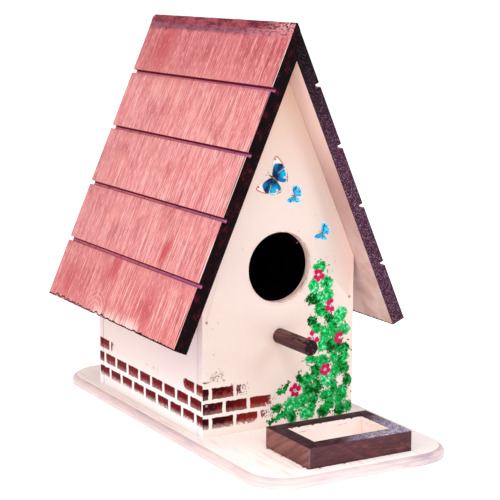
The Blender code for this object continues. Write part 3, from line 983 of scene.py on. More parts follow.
def tray_rim(p, brush):
    """The strips' upper faces, and how much painted sheen, a speckled pale mauve reflection, lies at each place."""
    drift = p.noise(9.0, detail=3.0, seed=23.0) * 30.0
    # Painted sheen: a speckled pale mauve reflection toward the front right of the rim.
    sheen = p.ramp(p.x * 0.7 - p.y * 0.9 + drift, 134.0, 168.0)
    dust = p.noise(0.8, detail=3.0, seed=63.0, roughness=0.7)
    speckled_sheen = p.mix(chart(68, 56, 78), chart(224, 212, 234), p.ramp(dust, 0.44, 0.62))
    dark = p.mix(chart(40, 18, 26), chart(68, 40, 48), p.ramp(brush, 0.36, 0.6))
    return p.mix(dark, speckled_sheen, sheen), sheen


def tray_lining(p):
    """The cream inside, and where it is: up to the ragged ends of the brown that laps over the rim."""
    room = p.band(p.x, TRAY_LOW.x + STRIP - 0.2, TRAY_BACK_HIGH.x - STRIP + 0.2, 0.08)
    room = room * p.band(p.y, TRAY_LOW.y + STRIP - 0.2, TRAY_BACK_HIGH.y - STRIP + 0.2, 0.08)
    bristles = p.noise(5.0, detail=4.0, seed=33.0, at=p.vector(p.x, p.y, 0.0), roughness=0.6)
    cream = room * p.ramp(TRAY_TOP - p.z - p.ramp(bristles, 0.50, 0.74) * 1.4, -0.1, 0.25)
    lining = p.mix((0.98, 0.88, 0.83), (0.92, 0.76, 0.70), p.noise(8.0, seed=43.0))
    scuff = p.ramp(p.noise(2.0, detail=3.0, stretch=(6, 1, 1), seed=47.0), 0.56, 0.64)
    scuff = scuff * p.band(TRAY_TOP - p.z, 1.0, 4.5, 1.0)
    return p.mix(lining, chart(206, 130, 130), scuff * 0.5), cream


def tray_paint():
    p = Paint("tray_umber", roughness=0.42, specular=0.12)
    colour, brush = tray_faces(p)
    rim, sheen = tray_rim(p, brush)
    on_top = p.ramp(p.z, TRAY_TOP - 0.35, TRAY_TOP - 0.1)
    colour = p.mix(p.mix(colour, rim, on_top), *tray_lining(p))
    return p.finish(colour, height=brush, depth=0.1, roughness=0.62 - sheen * on_top * 0.2)


def perch_paint():
    p = Paint("perch_umber", roughness=0.5, specular=0.12)
    colour, brush = umber_coat(p, (1, 18, 1))
    low, high = box_mm("perch")
    middle = (low.z + high.z) / 2
    lit = p.ramp(p.z, middle - 1.0, middle + 4.5)
    colour = p.mix(colour, p.mix(chart(78, 46, 42), chart(116, 80, 72), p.ramp(brush, 0.4, 0.62)), lit * 0.85)
    chips = p.ramp(p.noise(1.5, detail=3.0, stretch=(1, 3, 1), seed=17.0), 0.52, 0.56)
    chips = chips * p.ramp(p.z, middle + 2.2, middle + 3.4) * p.ramp(p.y, low.y + 26.0, low.y + 19.0)
    colour = p.mix(colour, chart(28, 10, 12), chips)
    end = p.ramp(p.y, low.y + 0.45, low.y + 0.15)
    rings = p.noise(2.4, detail=3.0, seed=27.0)
    colour = p.mix(colour, p.mix(chart(26, 8, 12), chart(128, 44, 66), p.ramp(rings, 0.56, 0.66)), end)
    return p.finish(colour, height=brush, depth=0.15)


umber = tray_paint()
for side in ("front", "back", "left", "right"):
    soft_board(f"tray_{side}_strip", umber, width=0.35 * MM)
soft_board("perch", perch_paint(), width=0.3 * MM)

# %% [markdown]
# ## Brads
# The brads keep their own solids. A brushed steel shows on the shanks, and the heads were painted over
# with the wall, so the steel is only a darker dot.

# %% Brads


def steel_paint():
    """Steel under a film of whatever paint went over each head; inside the house it is painted near black as painted
    shade.
    """
    p = Paint("brad_steel", roughness=0.45)
    scratch = p.noise(0.5, detail=2.0, seed=4.0)
    colour = p.mix(chart(150, 124, 116), chart(196, 166, 156), scratch)
    tray = p.ramp(p.y, FRONT_LOW.y - 6.0, FRONT_LOW.y - 12.0)
    colour = p.mix(colour, chart(84, 52, 54), tray)
    roof = p.ramp(p.z, BASE_TOP + 118.0, BASE_TOP + 126.0)
    colour = p.mix(colour, chart(150, 90, 122), roof)
    # Painted shade: brads inside the house are painted near black, like its unlit inside.
    inside = p.band(p.x, -HALF_WIDTH + WALL_THICK, HALF_WIDTH - WALL_THICK, 0.2)
    inside = inside * p.band(p.y, FRONT_LOW.y + WALL_THICK - 0.2, BACK_HIGH.y - WALL_THICK + 0.2, 0.2)
    colour = p.mix(colour, chart(30, 22, 22), inside)
    return p.finish(colour, height=scratch, depth=0.02)


steel = steel_paint()
for name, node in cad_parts.items():
    if "_brad_" in name:
        node.data.materials.clear()
        node.data.materials.append(steel)

# %% [markdown]
# ## Geometry Nodes in the same words
# A `Recipe` is a Geometry Nodes tree with named inputs. `grow` puts it on a mesh of plain points, whose
# attributes say how big, how turned and how light each copy is, and bakes the result to a plain mesh.

# %% Recipes that scatter and bake


class Recipe(Graph):
    """A Geometry Nodes tree. inputs: name -> (socket type, default)."""

    def __init__(self, name, **inputs):
        tree = bpy.data.node_groups.new(name, "GeometryNodeTree")
        tree.interface.new_socket("Geometry", in_out="INPUT", socket_type="NodeSocketGeometry")
        tree.interface.new_socket("Geometry", in_out="OUTPUT", socket_type="NodeSocketGeometry")
        for label, (kind, default) in inputs.items():
            socket = tree.interface.new_socket(label, in_out="INPUT", socket_type=kind)
            if default is not None:
                socket.default_value = default
        super().__init__(tree)
        self.entry = tree.nodes.new("NodeGroupInput")
        self.exit = tree.nodes.new("NodeGroupOutput")

    def given(self, label="Geometry"):
        return Wire(self, self.entry.outputs[label])

    def named(self, label, kind="FLOAT"):
        return self.node("GeometryNodeInputNamedAttribute", {"data_type": kind}, Name=label)

    def keep(self, geometry, label, value, kind="FLOAT"):
        settings = {"data_type": kind, "domain": "POINT"}
        sockets = {"Geometry": geometry, "Name": label, "Value": value}
        return self.node("GeometryNodeStoreNamedAttribute", settings, **sockets)

    def vector(self, x, y, z):
        return self.node("ShaderNodeCombineXYZ", X=x, Y=y, Z=z)

    def vectors(self, operation, first, second):
        return self.node("ShaderNodeVectorMath", {"operation": operation}, s0=first, s1=second)

    def finish(self, geometry):
        done = self.node("GeometryNodeSetMaterial", Geometry=geometry, Material=self.given("Material"))
        self.plug(self.exit.inputs["Geometry"], done)
        return self.tree


MATERIAL_INPUT = ("NodeSocketMaterial", None)


def points_mesh(name, places, **attributes):
    mesh = bpy.data.meshes.new(name)
    mesh.from_pydata([tuple(v * MM for v in place) for place in places], [], [])
    for label, values in attributes.items():
        mesh.attributes.new(label, "FLOAT", "POINT").data.foreach_set("value", [float(v) for v in values])
    return mesh


def grow(name, mesh, tree, **inputs):
    """Runs the recipe on the mesh once and keeps the result as a plain piece."""
    holder = bpy.data.objects.new(name + "_seed", mesh)
    scene.collection.objects.link(holder)
    modifier = holder.modifiers.new(name, "NODES")
    modifier.node_group = tree
    for item in tree.interface.items_tree:
        if item.item_type == "SOCKET" and item.in_out == "INPUT" and item.name in inputs:
            modifier[item.identifier] = inputs[item.name]
    graph = bpy.context.evaluated_depsgraph_get()
    baked = bpy.data.meshes.new_from_object(holder.evaluated_get(graph), depsgraph=graph)
    bpy.data.objects.remove(holder)
    baked.name = name
    baked.shade_smooth()
    obj = piece(name, baked, inputs["Material"])
    print(name, len(baked.polygons), "faces")
    return obj


# %% [markdown]
# ## The climbing plant's leaves
# Each leaf is one dab of a small sponge. It is a thin lens of paint with a ragged outline, a little
# raised from the wall. Its rim is speckled, because the sponge touched there only with its tips. The
# painter loaded three greens in turn, so each dab has its own tone.

# %% Leaf paint and leaf dabs


def leaf_paint():
    p = Paint("leaf_green", roughness=0.55, specular=0.08)
    tone, rim = p.attribute("tone"), p.attribute("rim")
    mottle = p.noise(3.0, detail=3.0, seed=2.0) - 0.5
    fine = p.noise(1.2, detail=2.0, seed=6.0) - 0.5
    level = tone + mottle * 2.6 + fine * 1.7
    colour = p.mix(chart(0, 62, 8), chart(0, 162, 66), p.ramp(level, 0.05, 0.42))
    colour = p.mix(colour, chart(70, 216, 140), p.ramp(level, 0.66, 1.0))
    colour = p.mix(colour, chart(196, 242, 216), p.ramp(level, 1.05, 1.4))
    thin = p.ramp(rim, 0.55, 1.0) * p.ramp(tone, 0.05, 0.4)
    colour = p.mix(colour, chart(110, 226, 156), thin * 0.35)
    sponge = p.noise(1.25, detail=3.0, seed=11.0, roughness=0.7)
    broad = p.noise(2.8, detail=2.0, seed=15.0)
    hold = sponge * 0.7 + broad * 0.3
    alpha = p.ramp(hold + (1.0 - rim * rim) * 0.27, 0.485, 0.535)
    return p.finish(colour, height=sponge, depth=0.08, alpha=alpha)


def stop_at_edge(g, geometry):
    """Keeps paint on the front wall: nothing reaches past its right-hand edge."""
    place = g.node("GeometryNodeInputPosition")
    edge = ((HALF_WIDTH - 0.05) * MM, 9.0, 9.0)
    return g.node("GeometryNodeSetPosition", Geometry=geometry, Position=g.vectors("MINIMUM", place, edge))


def dab_recipe():
    g = Recipe(
        "sponge_dabs",
        Thickness=("NodeSocketFloat", 0.12 * MM),
        Ragged=("NodeSocketFloat", 7.8 * MM),
        Grain=("NodeSocketFloat", 420.0),
        Material=MATERIAL_INPUT,
    )
    lens = g.node("GeometryNodeMeshIcoSphere", Radius=1.0, Subdivisions=4)
    place = g.node("GeometryNodeInputPosition")
    flat = g.node("ShaderNodeVectorMath", {"operation": "LENGTH"}, output=1, s0=g.vectors("MULTIPLY", place, (1, 0, 1)))
    lens = g.keep(lens, "rim", flat)
    size = g.vector(g.named("length") * (0.5 * MM), g.given("Thickness"), g.named("width") * (0.5 * MM))
    turn = g.vector(0.0, g.named("turn"), 0.0)
    dabs = g.node("GeometryNodeInstanceOnPoints", Points=g.given(), Instance=lens, Rotation=turn, Scale=size)
    dabs = g.node("GeometryNodeRealizeInstances", Geometry=dabs)
    wave = g.node("ShaderNodeTexNoise", output=1, Vector=place, Scale=g.given("Grain"), Detail=2.0)
    push = g.vectors("MULTIPLY", g.vectors("SUBTRACT", wave, (0.5, 0.5, 0.5)), (1, 0, 1))
    push = g.node("ShaderNodeVectorMath", {"operation": "SCALE"}, s0=push, Scale=g.given("Ragged") * g.named("rim"))
    return g.finish(stop_at_edge(g, g.node("GeometryNodeSetPosition", Geometry=dabs, Offset=push)))


# Centre across and above the base, length, width, turn in degrees, and tone from dark 0 to light 1.
LEAVES = [
    (32, 109, 9.5, 7, 10, 0.55), (27.5, 96, 7.5, 9, 0, 0.8), (37.8, 97.5, 7, 9, 20, 0.62),
    (26.3, 88, 8, 6.5, 30, 0.05), (29.5, 85, 6, 5, 0, 0.1), (36.5, 88, 12, 8, 5, 0.72),
    (31.5, 80, 7, 10, 0, 0.6), (35, 77, 8, 6, 20, 0.45), (26.2, 71.5, 6.5, 6, 40, 0.02),
    (30, 66, 8, 7, 0, 0.5), (40, 72, 6.5, 6, 15, 0.1), (49, 73, 9, 11, -35, 0.78),
    (43, 66, 7, 9, 10, 0.45), (52, 63, 8.5, 7, 0, 0.55), (37.5, 60, 8.5, 11, 10, 0.62),
    (42, 52, 6.5, 9, 0, 0.08), (46, 60, 6, 7, 0, 0.4), (35, 53, 8, 8, 0, 0.68),
    (53.5, 49.5, 7, 6.5, 0, 0.25), (47.5, 50, 6.5, 7, 20, 0.2), (25.5, 44.5, 9, 5, -15, 0.55),
    (34.5, 42, 10, 7, 10, 0.5), (29.5, 36, 7, 8, -30, 0.12), (49, 38, 8, 11, 5, 0.4),
    (53, 35, 7, 8, 0, 0.25), (45.5, 33, 6, 8, 0, 0.5), (21, 30, 9, 8, 10, 0.5),
    (16.5, 31.5, 4, 6, 35, 0.05), (38.5, 28, 9, 9, 0, 0.85), (31, 23.5, 7, 9, 10, 0.15),
    (24.5, 22, 9, 8, 20, 0.3), (18.5, 15.5, 12, 8, 35, 0.62), (9.5, 14, 11, 8, 40, 0.75),
    (55.8, 25.5, 6, 7.5, 0, 0.18), (44.5, 22, 6, 8, 0, 0.35), (50.5, 15.5, 9.5, 12, -10, 0.5),
    (39, 17, 11, 7, 5, 0.5), (27, 12.5, 6, 9, 15, 0.45), (28, 15, 7, 5, 40, 0.2),
    (10.3, 5.5, 7.5, 8.5, 0, 0.35), (22.5, 6, 11, 9, 0, 0.68), (36.5, 5.5, 9, 7.5, 0, 0.2),
    (41, 10, 8, 7, 0, 0.4), (50, 4.5, 8.5, 7.5, 0, 0.22), (56.8, 6.5, 5, 7, 20, 0.4),
    (-2, 12.5, 7, 5.5, 20, 0.25), (-5.5, 4.5, 6, 2.6, 35, 0.15), (0.5, 7, 8, 4, 25, 0.4),
    (5.5, 26.5, 7.5, 2.6, 55, 0.1), (1.5, 24, 6, 2, 30, 0.35), (6, 8.5, 4, 6, 0, 0.6),
    (29, 31, 5, 6, 0, 0.5), (33, 34.5, 8, 5, 0, 0.72), (44, 44, 6, 7, 0, 0.6), (52.5, 43, 6, 6, 0, 0.7),
]
leaf_mesh = points_mesh(
    "leaf_places",
    [(x, FACE - 0.02, z + BASE_TOP) for x, z, *_ in LEAVES],
    length=[leaf[2] * 1.25 for leaf in LEAVES],
    width=[leaf[3] * 1.25 for leaf in LEAVES],
    turn=[-radians(leaf[4]) for leaf in LEAVES],
    tone=[leaf[5] for leaf in LEAVES],
)
grow("plant_leaves", leaf_mesh, dab_recipe(), Material=leaf_paint())

# %% [markdown]
# ## Specks
# A dry sponge also leaves specks around its dab. Each cloud of specks is one point with a width, a height
# and a number of specks. The recipe copies the point that many times, throws the copies about it and puts
# a tiny lens of paint on each.

# %% Specks of green, brick and brown


def speck_recipe():
    g = Recipe(
        "sponge_specks",
        Smallest=("NodeSocketFloat", 0.22 * MM),
        Largest=("NodeSocketFloat", 0.75 * MM),
        Seed=("NodeSocketInt", 7),
        Material=MATERIAL_INPUT,
    )
    many = g.node("GeometryNodeDuplicateElements", {"domain": "POINT"}, Geometry=g.given(), Amount=g.named("number"))
    low, high = (-1.0, 0.0, -1.0), (1.0, 0.0, 1.0)
    throws = [
        g.node("FunctionNodeRandomValue", {"data_type": "FLOAT_VECTOR"}, s0=low, s1=high, Seed=g.given("Seed") + turn)
        for turn in (0.0, 11.0)
    ]
    spread = g.vector(g.named("length") * (0.5 * MM), 0.0, g.named("width") * (0.5 * MM))
    offset = g.vectors("MULTIPLY", g.vectors("ADD", throws[0], throws[1]), spread)
    many = g.node("GeometryNodeSetPosition", Geometry=many, Offset=offset)
    size = g.node(
        "FunctionNodeRandomValue",
        {"data_type": "FLOAT"},
        output=1,
        s2=g.given("Smallest"),
        s3=g.given("Largest"),
        Seed=g.given("Seed"),
    )
    lens = g.keep(g.node("GeometryNodeMeshIcoSphere", Radius=1.0, Subdivisions=2), "rim", 0.2)
    shape = g.vector(size, 0.08 * MM, size)
    specks = g.node("GeometryNodeInstanceOnPoints", Points=many, Instance=lens, Scale=shape)
    specks = g.node("GeometryNodeRealizeInstances", Geometry=specks)
    place = g.node("GeometryNodeInputPosition")
    wave = g.node("ShaderNodeTexNoise", output=1, Vector=place, Scale=1500.0, Detail=1.0)
    push = g.vectors("MULTIPLY", g.vectors("SUBTRACT", wave, (0.5, 0.5, 0.5)), (0.0011, 0, 0.0011))
    return g.finish(stop_at_edge(g, g.node("GeometryNodeSetPosition", Geometry=specks, Offset=push)))


def speck_cloud(name, clouds, material, **inputs):
    """clouds: (x, height above the base, width, height of the cloud, how many, tone)."""
    mesh = points_mesh(
        name + "_places",
        [(cloud[0], FACE - 0.1, cloud[1] + BASE_TOP) for cloud in clouds],
        length=[cloud[2] for cloud in clouds],
        width=[cloud[3] for cloud in clouds],
        number=[cloud[4] for cloud in clouds],
        tone=[cloud[5] for cloud in clouds],
    )
    return grow(name, mesh, speck_recipe(), Material=material, **inputs)


speck_cloud(
    "leaf_specks", [(x, z, l, w, 20, t) for x, z, l, w, turn, t in LEAVES], bpy.data.materials["leaf_green"]
)


def mark_paint(name, dark, light):
    p = Paint(name, roughness=0.6)
    tone = p.noise(2.0, detail=2.0, seed=3.0)
    return p.finish(p.mix(dark, light, p.ramp(tone, 0.35, 0.65)), height=tone, depth=0.02)


BRICK_CLOUDS = [(-50, 41.5, 7, 4, 44, 0), (-56.8, 38.2, 3.5, 0.6, 34, 0), (-29, 30.5, 6, 5, 40, 0)]
BRICK_CLOUDS += [(-7.5, 19.5, 3, 5, 16, 0), (-9, 9.5, 6, 3, 40, 0), (-37, 34, 3, 2, 12, 0)]
red_specks = mark_paint("brick_specks_red", BRICK_DARK, chart(170, 92, 88))
speck_cloud("brick_specks", BRICK_CLOUDS, red_specks, Smallest=0.14 * MM, Largest=0.38 * MM)
MARKS = [(43.5, 109, 1.2, 28, 9, 0), (-51.3, 57, 0.4, 0.4, 1, 0), (-47.5, 46.9, 0.4, 0.4, 2, 0), (27, 146, 1, 1, 1, 0)]
MARKS += [(-30, 128, 3, 3, 2, 0), (14, 131, 5, 6, 4, 0), (29, 141, 2, 1, 2, 0), (-51, 77, 5, 3, 3, 0)]
faint = mark_paint("faint_marks", chart(186, 148, 140), chart(216, 178, 168))
speck_cloud("wall_marks", MARKS, faint, Smallest=0.2 * MM, Largest=0.5 * MM)

# %% [markdown]
# ## The flowers
# A flower is a ring of round touches of a magenta brush about a pale centre. The brush missed a petal
# here and there, so each flower names its missed petal.

# %% Flowers


def petal_paint():
    p = Paint("petal_magenta", roughness=0.42, specular=0.12)
    blush = p.noise(2.0, detail=2.0, seed=3.0)
    rim = p.attribute("rim")
    colour = p.mix(chart(182, 0, 66), chart(220, 10, 92), p.ramp(blush, 0.35, 0.65))
    return p.finish(p.mix(colour, chart(150, 0, 56), p.ramp(rim, 0.8, 1.0) * 0.5), height=blush, depth=0.05)


def flower_recipe():
    g = Recipe(
        "brush_flowers",
        Petals=("NodeSocketInt", 5),
        Ring=("NodeSocketFloat", 2.85 * MM),
        Petal=("NodeSocketFloat", 1.9 * MM),
        Stray=("NodeSocketFloat", 0.45 * MM),
        Seed=("NodeSocketInt", 4),
        Material=MATERIAL_INPUT,
    )
    ring = g.node("GeometryNodeMeshCircle", Vertices=g.given("Petals"), Radius=g.given("Ring"))
    upright = g.vector(pi / 2, g.named("turn"), 0.0)
    ring_size = g.vector(g.named("ring"), g.named("ring"), 1.0)
    sockets = {"Points": g.given(), "Instance": ring, "Rotation": upright, "Scale": ring_size}
    rings = g.node("GeometryNodeInstanceOnPoints", **sockets)
    rings = g.node("GeometryNodeRealizeInstances", Geometry=rings)
    low, high = (-1.0, 0.0, -1.0), (1.0, 0.0, 1.0)
    stray = g.node("FunctionNodeRandomValue", {"data_type": "FLOAT_VECTOR"}, s0=low, s1=high, Seed=g.given("Seed"))
    stray = g.node("ShaderNodeVectorMath", {"operation": "SCALE"}, s0=stray, Scale=g.given("Stray"))
    rings = g.node("GeometryNodeSetPosition", Geometry=rings, Offset=stray)
    turn_of_petal = g.node("GeometryNodeInputIndex") % g.given("Petals")
    kept = abs(turn_of_petal - g.named("gap")) > 0.5
    size = g.node("FunctionNodeRandomValue", {"data_type": "FLOAT"}, output=1, s2=0.86, s3=1.1, Seed=g.given("Seed"))
    drop = g.node("GeometryNodeMeshIcoSphere", Radius=g.given("Petal"), Subdivisions=4)
    place = g.node("GeometryNodeInputPosition")
    flat = g.node("ShaderNodeVectorMath", {"operation": "LENGTH"}, output=1, s0=g.vectors("MULTIPLY", place, (1, 0, 1)))
    drop = g.keep(drop, "rim", flat / g.given("Petal"))
    shape = g.vector(size, size * 0.14, size)
    petals = g.node("GeometryNodeInstanceOnPoints", Points=rings, Selection=kept, Instance=drop, Scale=shape)
    petals = g.node("GeometryNodeRealizeInstances", Geometry=petals)
    wave = g.node("ShaderNodeTexNoise", output=1, Vector=place, Scale=700.0, Detail=1.0)
    push = g.vectors("MULTIPLY", g.vectors("SUBTRACT", wave, (0.5, 0.5, 0.5)), (0.0014, 0, 0.0014))
    return g.finish(g.node("GeometryNodeSetPosition", Geometry=petals, Offset=push))


# Centre across and above the base, turn in degrees, the missed petal of the five (9 for none), ring size.
FLOWERS = [
    (31, 103.5, 18, 9, 1.0), (41.3, 81, 0, 0, 1.0), (27.3, 59.4, 28, 1, 1.14),
    (49.4, 56.9, 4, 0, 1.0), (37.3, 35.6, 18, 9, 1.0), (12.6, 23.5, 54, 9, 1.1),
]
flower_places = [(x, FACE - 0.2, z + BASE_TOP) for x, z, *_ in FLOWERS]
flower_turns = [radians(flower[2]) for flower in FLOWERS]
flower_gaps, flower_rings = [flower[3] for flower in FLOWERS], [flower[4] for flower in FLOWERS]
flower_mesh = points_mesh("flower_places", flower_places, turn=flower_turns, gap=flower_gaps, ring=flower_rings)
grow("flower_petals", flower_mesh, flower_recipe(), Material=petal_paint())


def centre_paint():
    p = Paint("flower_centre", roughness=0.5)
    blend = p.noise(1.2, detail=2.0, seed=5.0)
    colour = p.mix(chart(96, 150, 156), chart(226, 220, 222), p.ramp(blend, 0.42, 0.6))
    return p.finish(colour, height=blend, depth=0.04)


centre_mesh = points_mesh(
    "centre_places",
    [(x, y - 0.05, z) for x, y, z in flower_places],
    length=[2.3] * len(FLOWERS),
    width=[1.9] * len(FLOWERS),
    turn=flower_turns,
    tone=[1.0] * len(FLOWERS),
)
centre_tree = dab_recipe()
grow("flower_centres", centre_mesh, centre_tree, Material=centre_paint(), Ragged=0.5 * MM, Thickness=0.2 * MM)

# %% [markdown]
# ## The butterflies
# Wings are thin sheets of paint. A wing's outline is easiest to give as a compass sees it from the body:
# a bearing from straight ahead, and a reach. The sheet keeps both as attributes, and the paint uses them:
# blue out to a certain reach, a cream band, then a thin brown margin.

# %% Wings


def through(points, samples):
    """A smooth curve through the points (Catmull-Rom)."""
    points = np.array([points[0], *points, points[-1]], dtype=float)
    spans = len(points) - 3
    out = []
    for step in np.linspace(0, spans, samples):
        i = min(int(step), spans - 1)
        t = step - i
        a, b, c, d = points[i : i + 4]
        square, cube = 2 * a - 5 * b + 4 * c - d, 3 * b - a - 3 * c + d
        out.append(0.5 * (2 * b + (c - a) * t + square * t**2 + cube * t**3))
    return np.array(out)


def wing_sheet(outline, side, heading, centre, front, back):
    """Vertices, faces, reach and bearing of a closed thin wing. outline holds (bearing, reach)."""
    rings, samples = 8, 36
    curve = through(outline, samples)
    verts, reach, bearing = [(0.0, 0.0)], [0.0], [float(curve[:, 0].mean())]
    for ring in range(1, rings + 1):
        for angle, radius in curve:
            way = heading - side * radians(angle)
            far = radius * ring / rings
            verts.append((far * cos(way), far * sin(way)))
            reach.append(ring / rings)
            bearing.append(angle)
    count = len(verts)
    faces = [(0, 1 + i, 2 + i) for i in range(samples - 1)]
    for ring in range(rings - 1):
        start = 1 + ring * samples
        for i in range(samples - 1):
            faces.append((start + i, start + samples + i, start + samples + i + 1, start + i + 1))
    loop = [0] + [1 + r * samples for r in range(rings)]
    loop += list(range(2 + (rings - 1) * samples, 1 + rings * samples))
    loop += [samples + r * samples for r in range(rings - 2, -1, -1)]
    full = [(centre[0] + u, front, centre[1] + v) for u, v in verts]
    full += [(centre[0] + u, back, centre[1] + v) for u, v in verts]
    rim = [(loop[i], loop[(i + 1) % len(loop)]) for i in range(len(loop))]
    faces = faces + [tuple(i + count for i in reversed(face)) for face in faces]
    faces += [(b, a, a + count, b + count) for a, b in rim]
    return full, faces, reach * 2, bearing * 2


def butterfly(name, centre, heading, pairs, material, front=0.16):
    verts, faces, reach, bearing = [], [], [], []
    for side, pair in zip((1, -1), pairs):
        for number, outline in enumerate(pair):
            lift = front + 0.05 * (1 - number)
            part = wing_sheet(outline, side, radians(heading), centre, FACE - lift, FACE + 0.1)
            faces += [tuple(i + len(verts) for i in face) for face in part[1]]
            verts += part[0]
            reach += part[2]
            bearing += part[3]
    mesh = bpy.data.meshes.new(name)
    mesh.from_pydata([tuple(v * MM for v in vert) for vert in verts], [], faces)
    mesh.attributes.new("reach", "FLOAT", "POINT").data.foreach_set("value", reach)
    mesh.attributes.new("bearing", "FLOAT", "POINT").data.foreach_set("value", bearing)
    shape = bmesh.new()
    shape.from_mesh(mesh)
    bmesh.ops.recalc_face_normals(shape, faces=shape.faces)
    shape.to_mesh(mesh)
    shape.free()
    print(name, len(mesh.polygons), "faces")
    return piece(name, mesh, material)


def wing_paint():
    p = Paint("wing_blue_banded", roughness=0.4, specular=0.12)
    reach, bearing = p.attribute("reach"), p.attribute("bearing")
    hind = bearing > 109.0
    limit = 0.60 + p.ramp(bearing, 56.0, 106.0) * 0.38
    limit = p.math("MINIMUM", limit, 1.0 - hind * 0.10)
    limit = limit + (p.noise(1.2, detail=2.0, seed=33.0) - 0.5) * 0.09
    veins = p.noise(0.9, detail=3.0, seed=5.0)
    blue = p.mix(chart(4, 14, 62), chart(0, 100, 146), p.ramp(reach + veins * 0.35, 0.46, 0.72))
    bright = p.most(p.band(bearing, 118.0, 152.0, 6.0), p.band(bearing, 56.0, 68.0, 6.0) * 0.6)
    bright = p.most(bright * p.ramp(reach, 0.42, 0.72), p.ramp(veins, 0.6, 0.72) * 0.5)
    blue = p.mix(blue, chart(0, 164, 204), bright)
    bar = p.band(bearing, 84.0, 104.0, 6.0) * p.ramp(reach, 0.3, 0.6)
    blue = p.mix(blue, chart(4, 12, 56), bar * 0.9)
    split = p.band(bearing, 110.6, 113.0, 0.8) * p.ramp(reach, 0.38, 0.5) * p.ramp(reach, 1.0, 0.86)
    blue = p.mix(blue, chart(176, 214, 226), split * 0.85)
    milky = p.ramp(p.noise(1.5, detail=2.0, seed=9.0), 0.4, 0.6)
    pale = p.mix(chart(236, 212, 204), chart(222, 220, 222), milky)
    colour = p.mix(pale, blue, p.ramp(reach, limit + 0.03, limit - 0.03))
    dots = p.ramp(p.noise(0.8, detail=1.0, seed=13.0), 0.42, 0.55)
    margin = p.ramp(reach, 0.93, 0.955) * p.most(1.0 - hind, dots)
    rust = p.mix(chart(184, 98, 66), chart(98, 62, 62), hind * 0.9)
    colour = p.mix(colour, rust, margin * p.ramp(bearing, 106.0 + hind * 70.0, 96.0 + hind * 70.0))
    pink = p.band(bearing, 143.0, 152.0, 2.0) * p.band(reach, 0.72, 0.86, 0.03)
    return p.finish(p.mix(colour, chart(226, 184, 208), pink), height=veins, depth=0.03)


def small_wing_paint():
    p = Paint("wing_blue_plain", roughness=0.4, specular=0.12)
    reach, bearing = p.attribute("reach"), p.attribute("bearing")
    rays = p.noise(7.0, detail=3.0, seed=25.0, at=p.vector(bearing, reach * 16.0, p.x * 3.0))
    colour = p.mix(chart(10, 72, 136), chart(14, 146, 200), p.ramp(rays, 0.38, 0.50))
    colour = p.mix(colour, chart(84, 208, 234), p.ramp(rays + reach * 0.2, 0.55, 0.70))
    colour = p.mix(colour, chart(104, 92, 140), p.ramp(reach, 0.34, 0.1) * 0.6)
    dark = p.band(bearing, 66.0, 84.0, 5.0) * p.band(reach, 0.5, 0.85, 0.1)
    colour = p.mix(colour, chart(8, 34, 96), dark * 0.7)
    fringe = p.ramp(reach + (rays - 0.5) * 0.3, 0.84, 0.94)
    colour = p.mix(colour, chart(216, 222, 236), fringe * 0.75)
    split = p.band(bearing, 106.0, 110.0, 1.5) * p.ramp(reach, 0.5, 0.7)
    return p.finish(p.mix(colour, chart(206, 216, 232), split * 0.7), height=rays, depth=0.03)


BIG_WINGS = (
    [(106, 11.4), (127, 11.8), (146, 12.0), (158, 12.3), (165, 11.6), (172, 8.4), (178, 5.0)],
    [(47, 5.0), (54, 8.8), (58.5, 12.6), (63, 14.2), (67, 14.7), (73, 14.1), (85, 12.8), (100, 11.9), (111, 11.4)],
)
# Seen from its side, a small butterfly shows one pair of wings broad and the other foreshortened.
NEAR_WINGS = (
    [(110, 7.0), (122, 6.9), (134, 6.8), (146, 6.6), (156, 5.4), (163, 3.2)],
    [(44, 3.2), (50, 6.9), (58, 7.9), (68, 7.7), (80, 7.6), (92, 8.0), (102, 7.6), (112, 7.1)],
)
FAR_WINGS = (
    [(118, 4.5), (132, 4.5), (146, 5.3), (160, 6.6), (172, 6.9), (180, 4.0)],
    [(44, 3.6), (52, 6.2), (60, 7.1), (72, 6.5), (88, 5.5), (104, 4.7), (120, 4.5)],
)
big_blue, small_blue = wing_paint(), small_wing_paint()
LARGE = (-6.5, 173.5 + BASE_TOP)
butterfly("butterfly_large", LARGE, 144.5, (BIG_WINGS, BIG_WINGS), big_blue)
butterfly("butterfly_middle", (10.5, 159.8 + BASE_TOP), 151.0, (NEAR_WINGS, FAR_WINGS), small_blue)
butterfly("butterfly_low", (33.0, 132.6 + BASE_TOP), 140.0, (NEAR_WINGS, FAR_WINGS), small_blue)

# %% [markdown]
# A body is a tapered tube along a short path, and so is a feeler, so one function makes both. The spots
# near the wing tips are small dabs from the leaves' recipe.

# %% Bodies, feelers and wing spots


def tube(path, radii, sides=8):
    """A closed tapered tube along the points of path."""
    verts, faces = [], []
    path = [Vector(point) for point in path]
    for i, (point, radius) in enumerate(zip(path, radii)):
        ahead = (path[min(i + 1, len(path) - 1)] - path[max(i - 1, 0)]).normalized()
        across = ahead.cross(Vector((0, 1, 0))).normalized()
        over = ahead.cross(across)
        for k in range(sides):
            turn = 2 * pi * k / sides
            verts.append(point + (across * cos(turn) + over * sin(turn) * 0.6) * radius)
    for i in range(len(path) - 1):
        for k in range(sides):
            a, b = i * sides + k, i * sides + (k + 1) % sides
            faces.append((a, b, b + sides, a + sides))
    faces.append(tuple(range(sides))[::-1])
    faces.append(tuple(range((len(path) - 1) * sides, len(path) * sides)))
    return [tuple(v) for v in verts], faces


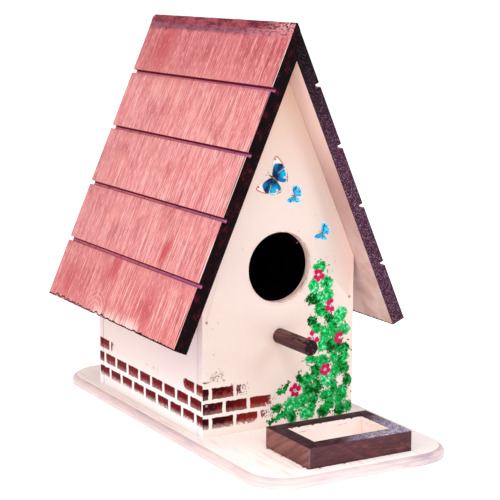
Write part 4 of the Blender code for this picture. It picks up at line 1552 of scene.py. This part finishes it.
def join_parts(name, parts, material):
    """One mesh from lists of vertices in millimetres and faces, with its faces turned outward."""
    verts, faces = [], []
    for part_verts, part_faces in parts:
        faces += [tuple(i + len(verts) for i in face) for face in part_faces]
        verts += part_verts
    mesh = bpy.data.meshes.new(name)
    mesh.from_pydata([tuple(v * MM for v in vert) for vert in verts], [], faces)
    shape = bmesh.new()
    shape.from_mesh(mesh)
    bmesh.ops.recalc_face_normals(shape, faces=shape.faces)
    obj = piece(name, to_mesh(shape, name), material)
    print(name, len(obj.data.polygons), "faces")
    return obj


def feeler_parts(centre, heading, size):
    """The body and two feelers of one butterfly."""
    theta = radians(heading)
    ahead, right = (cos(theta), sin(theta)), (sin(theta), -cos(theta))

    def spot(forward, sideways, out):
        x = centre[0] + (ahead[0] * forward + right[0] * sideways) * size
        z = centre[1] + (ahead[1] * forward + right[1] * sideways) * size
        return (x, FACE - out, z)

    steps = [(-5.2, 0.05), (-3.6, 0.45), (-1.5, 0.6), (0.3, 0.75), (1.4, 0.5), (2.1, 0.6), (2.7, 0.1)]
    parts = [tube([spot(f, 0, 0.25) for f, _ in steps], [r * size for _, r in steps])]
    for side in (1, -1):
        along = (0, 0.25, 0.5, 0.75, 0.92, 1.0)
        path = [spot(2.3 + 3.6 * t, side * (0.2 + 1.7 * t * t), 0.12) for t in along]
        parts.append(tube(path, [0.12, 0.1, 0.1, 0.1, 0.2, 0.08], sides=6))
    return parts


def body_paint():
    p = Paint("butterfly_body", roughness=0.55)
    rings = p.noise(0.7, detail=2.0, seed=3.0)
    colour = p.mix(chart(60, 48, 40), chart(150, 128, 96), p.ramp(rings, 0.45, 0.6))
    return p.finish(colour, height=rings, depth=0.04)


bodies = feeler_parts(LARGE, 144.5, 1.0)
bodies += feeler_parts((10.5, 159.8 + BASE_TOP), 151.0, 0.42) + feeler_parts((33.0, 132.6 + BASE_TOP), 143.0, 0.42)
join_parts("butterfly_bodies", bodies, body_paint())


def spot_paint():
    p = Paint("wing_spot_red", roughness=0.4)
    tone = p.noise(0.5, detail=1.0)
    return p.finish(p.mix(chart(120, 18, 22), chart(170, 40, 34), tone), height=tone, depth=0.02)


spots = []
for side in (1, -1):
    way = radians(144.5 - side * 63.5)
    spots.append((LARGE[0] + 12.4 * cos(way), FACE - 0.2, LARGE[1] + 12.4 * sin(way)))
spot_mesh = points_mesh("spot_places", spots, length=[1.3, 1.3], width=[1.3, 1.3], turn=[0, 0], tone=[0, 0])
grow("butterfly_spots", spot_mesh, dab_recipe(), Material=spot_paint(), Ragged=0.0, Thickness=0.12 * MM)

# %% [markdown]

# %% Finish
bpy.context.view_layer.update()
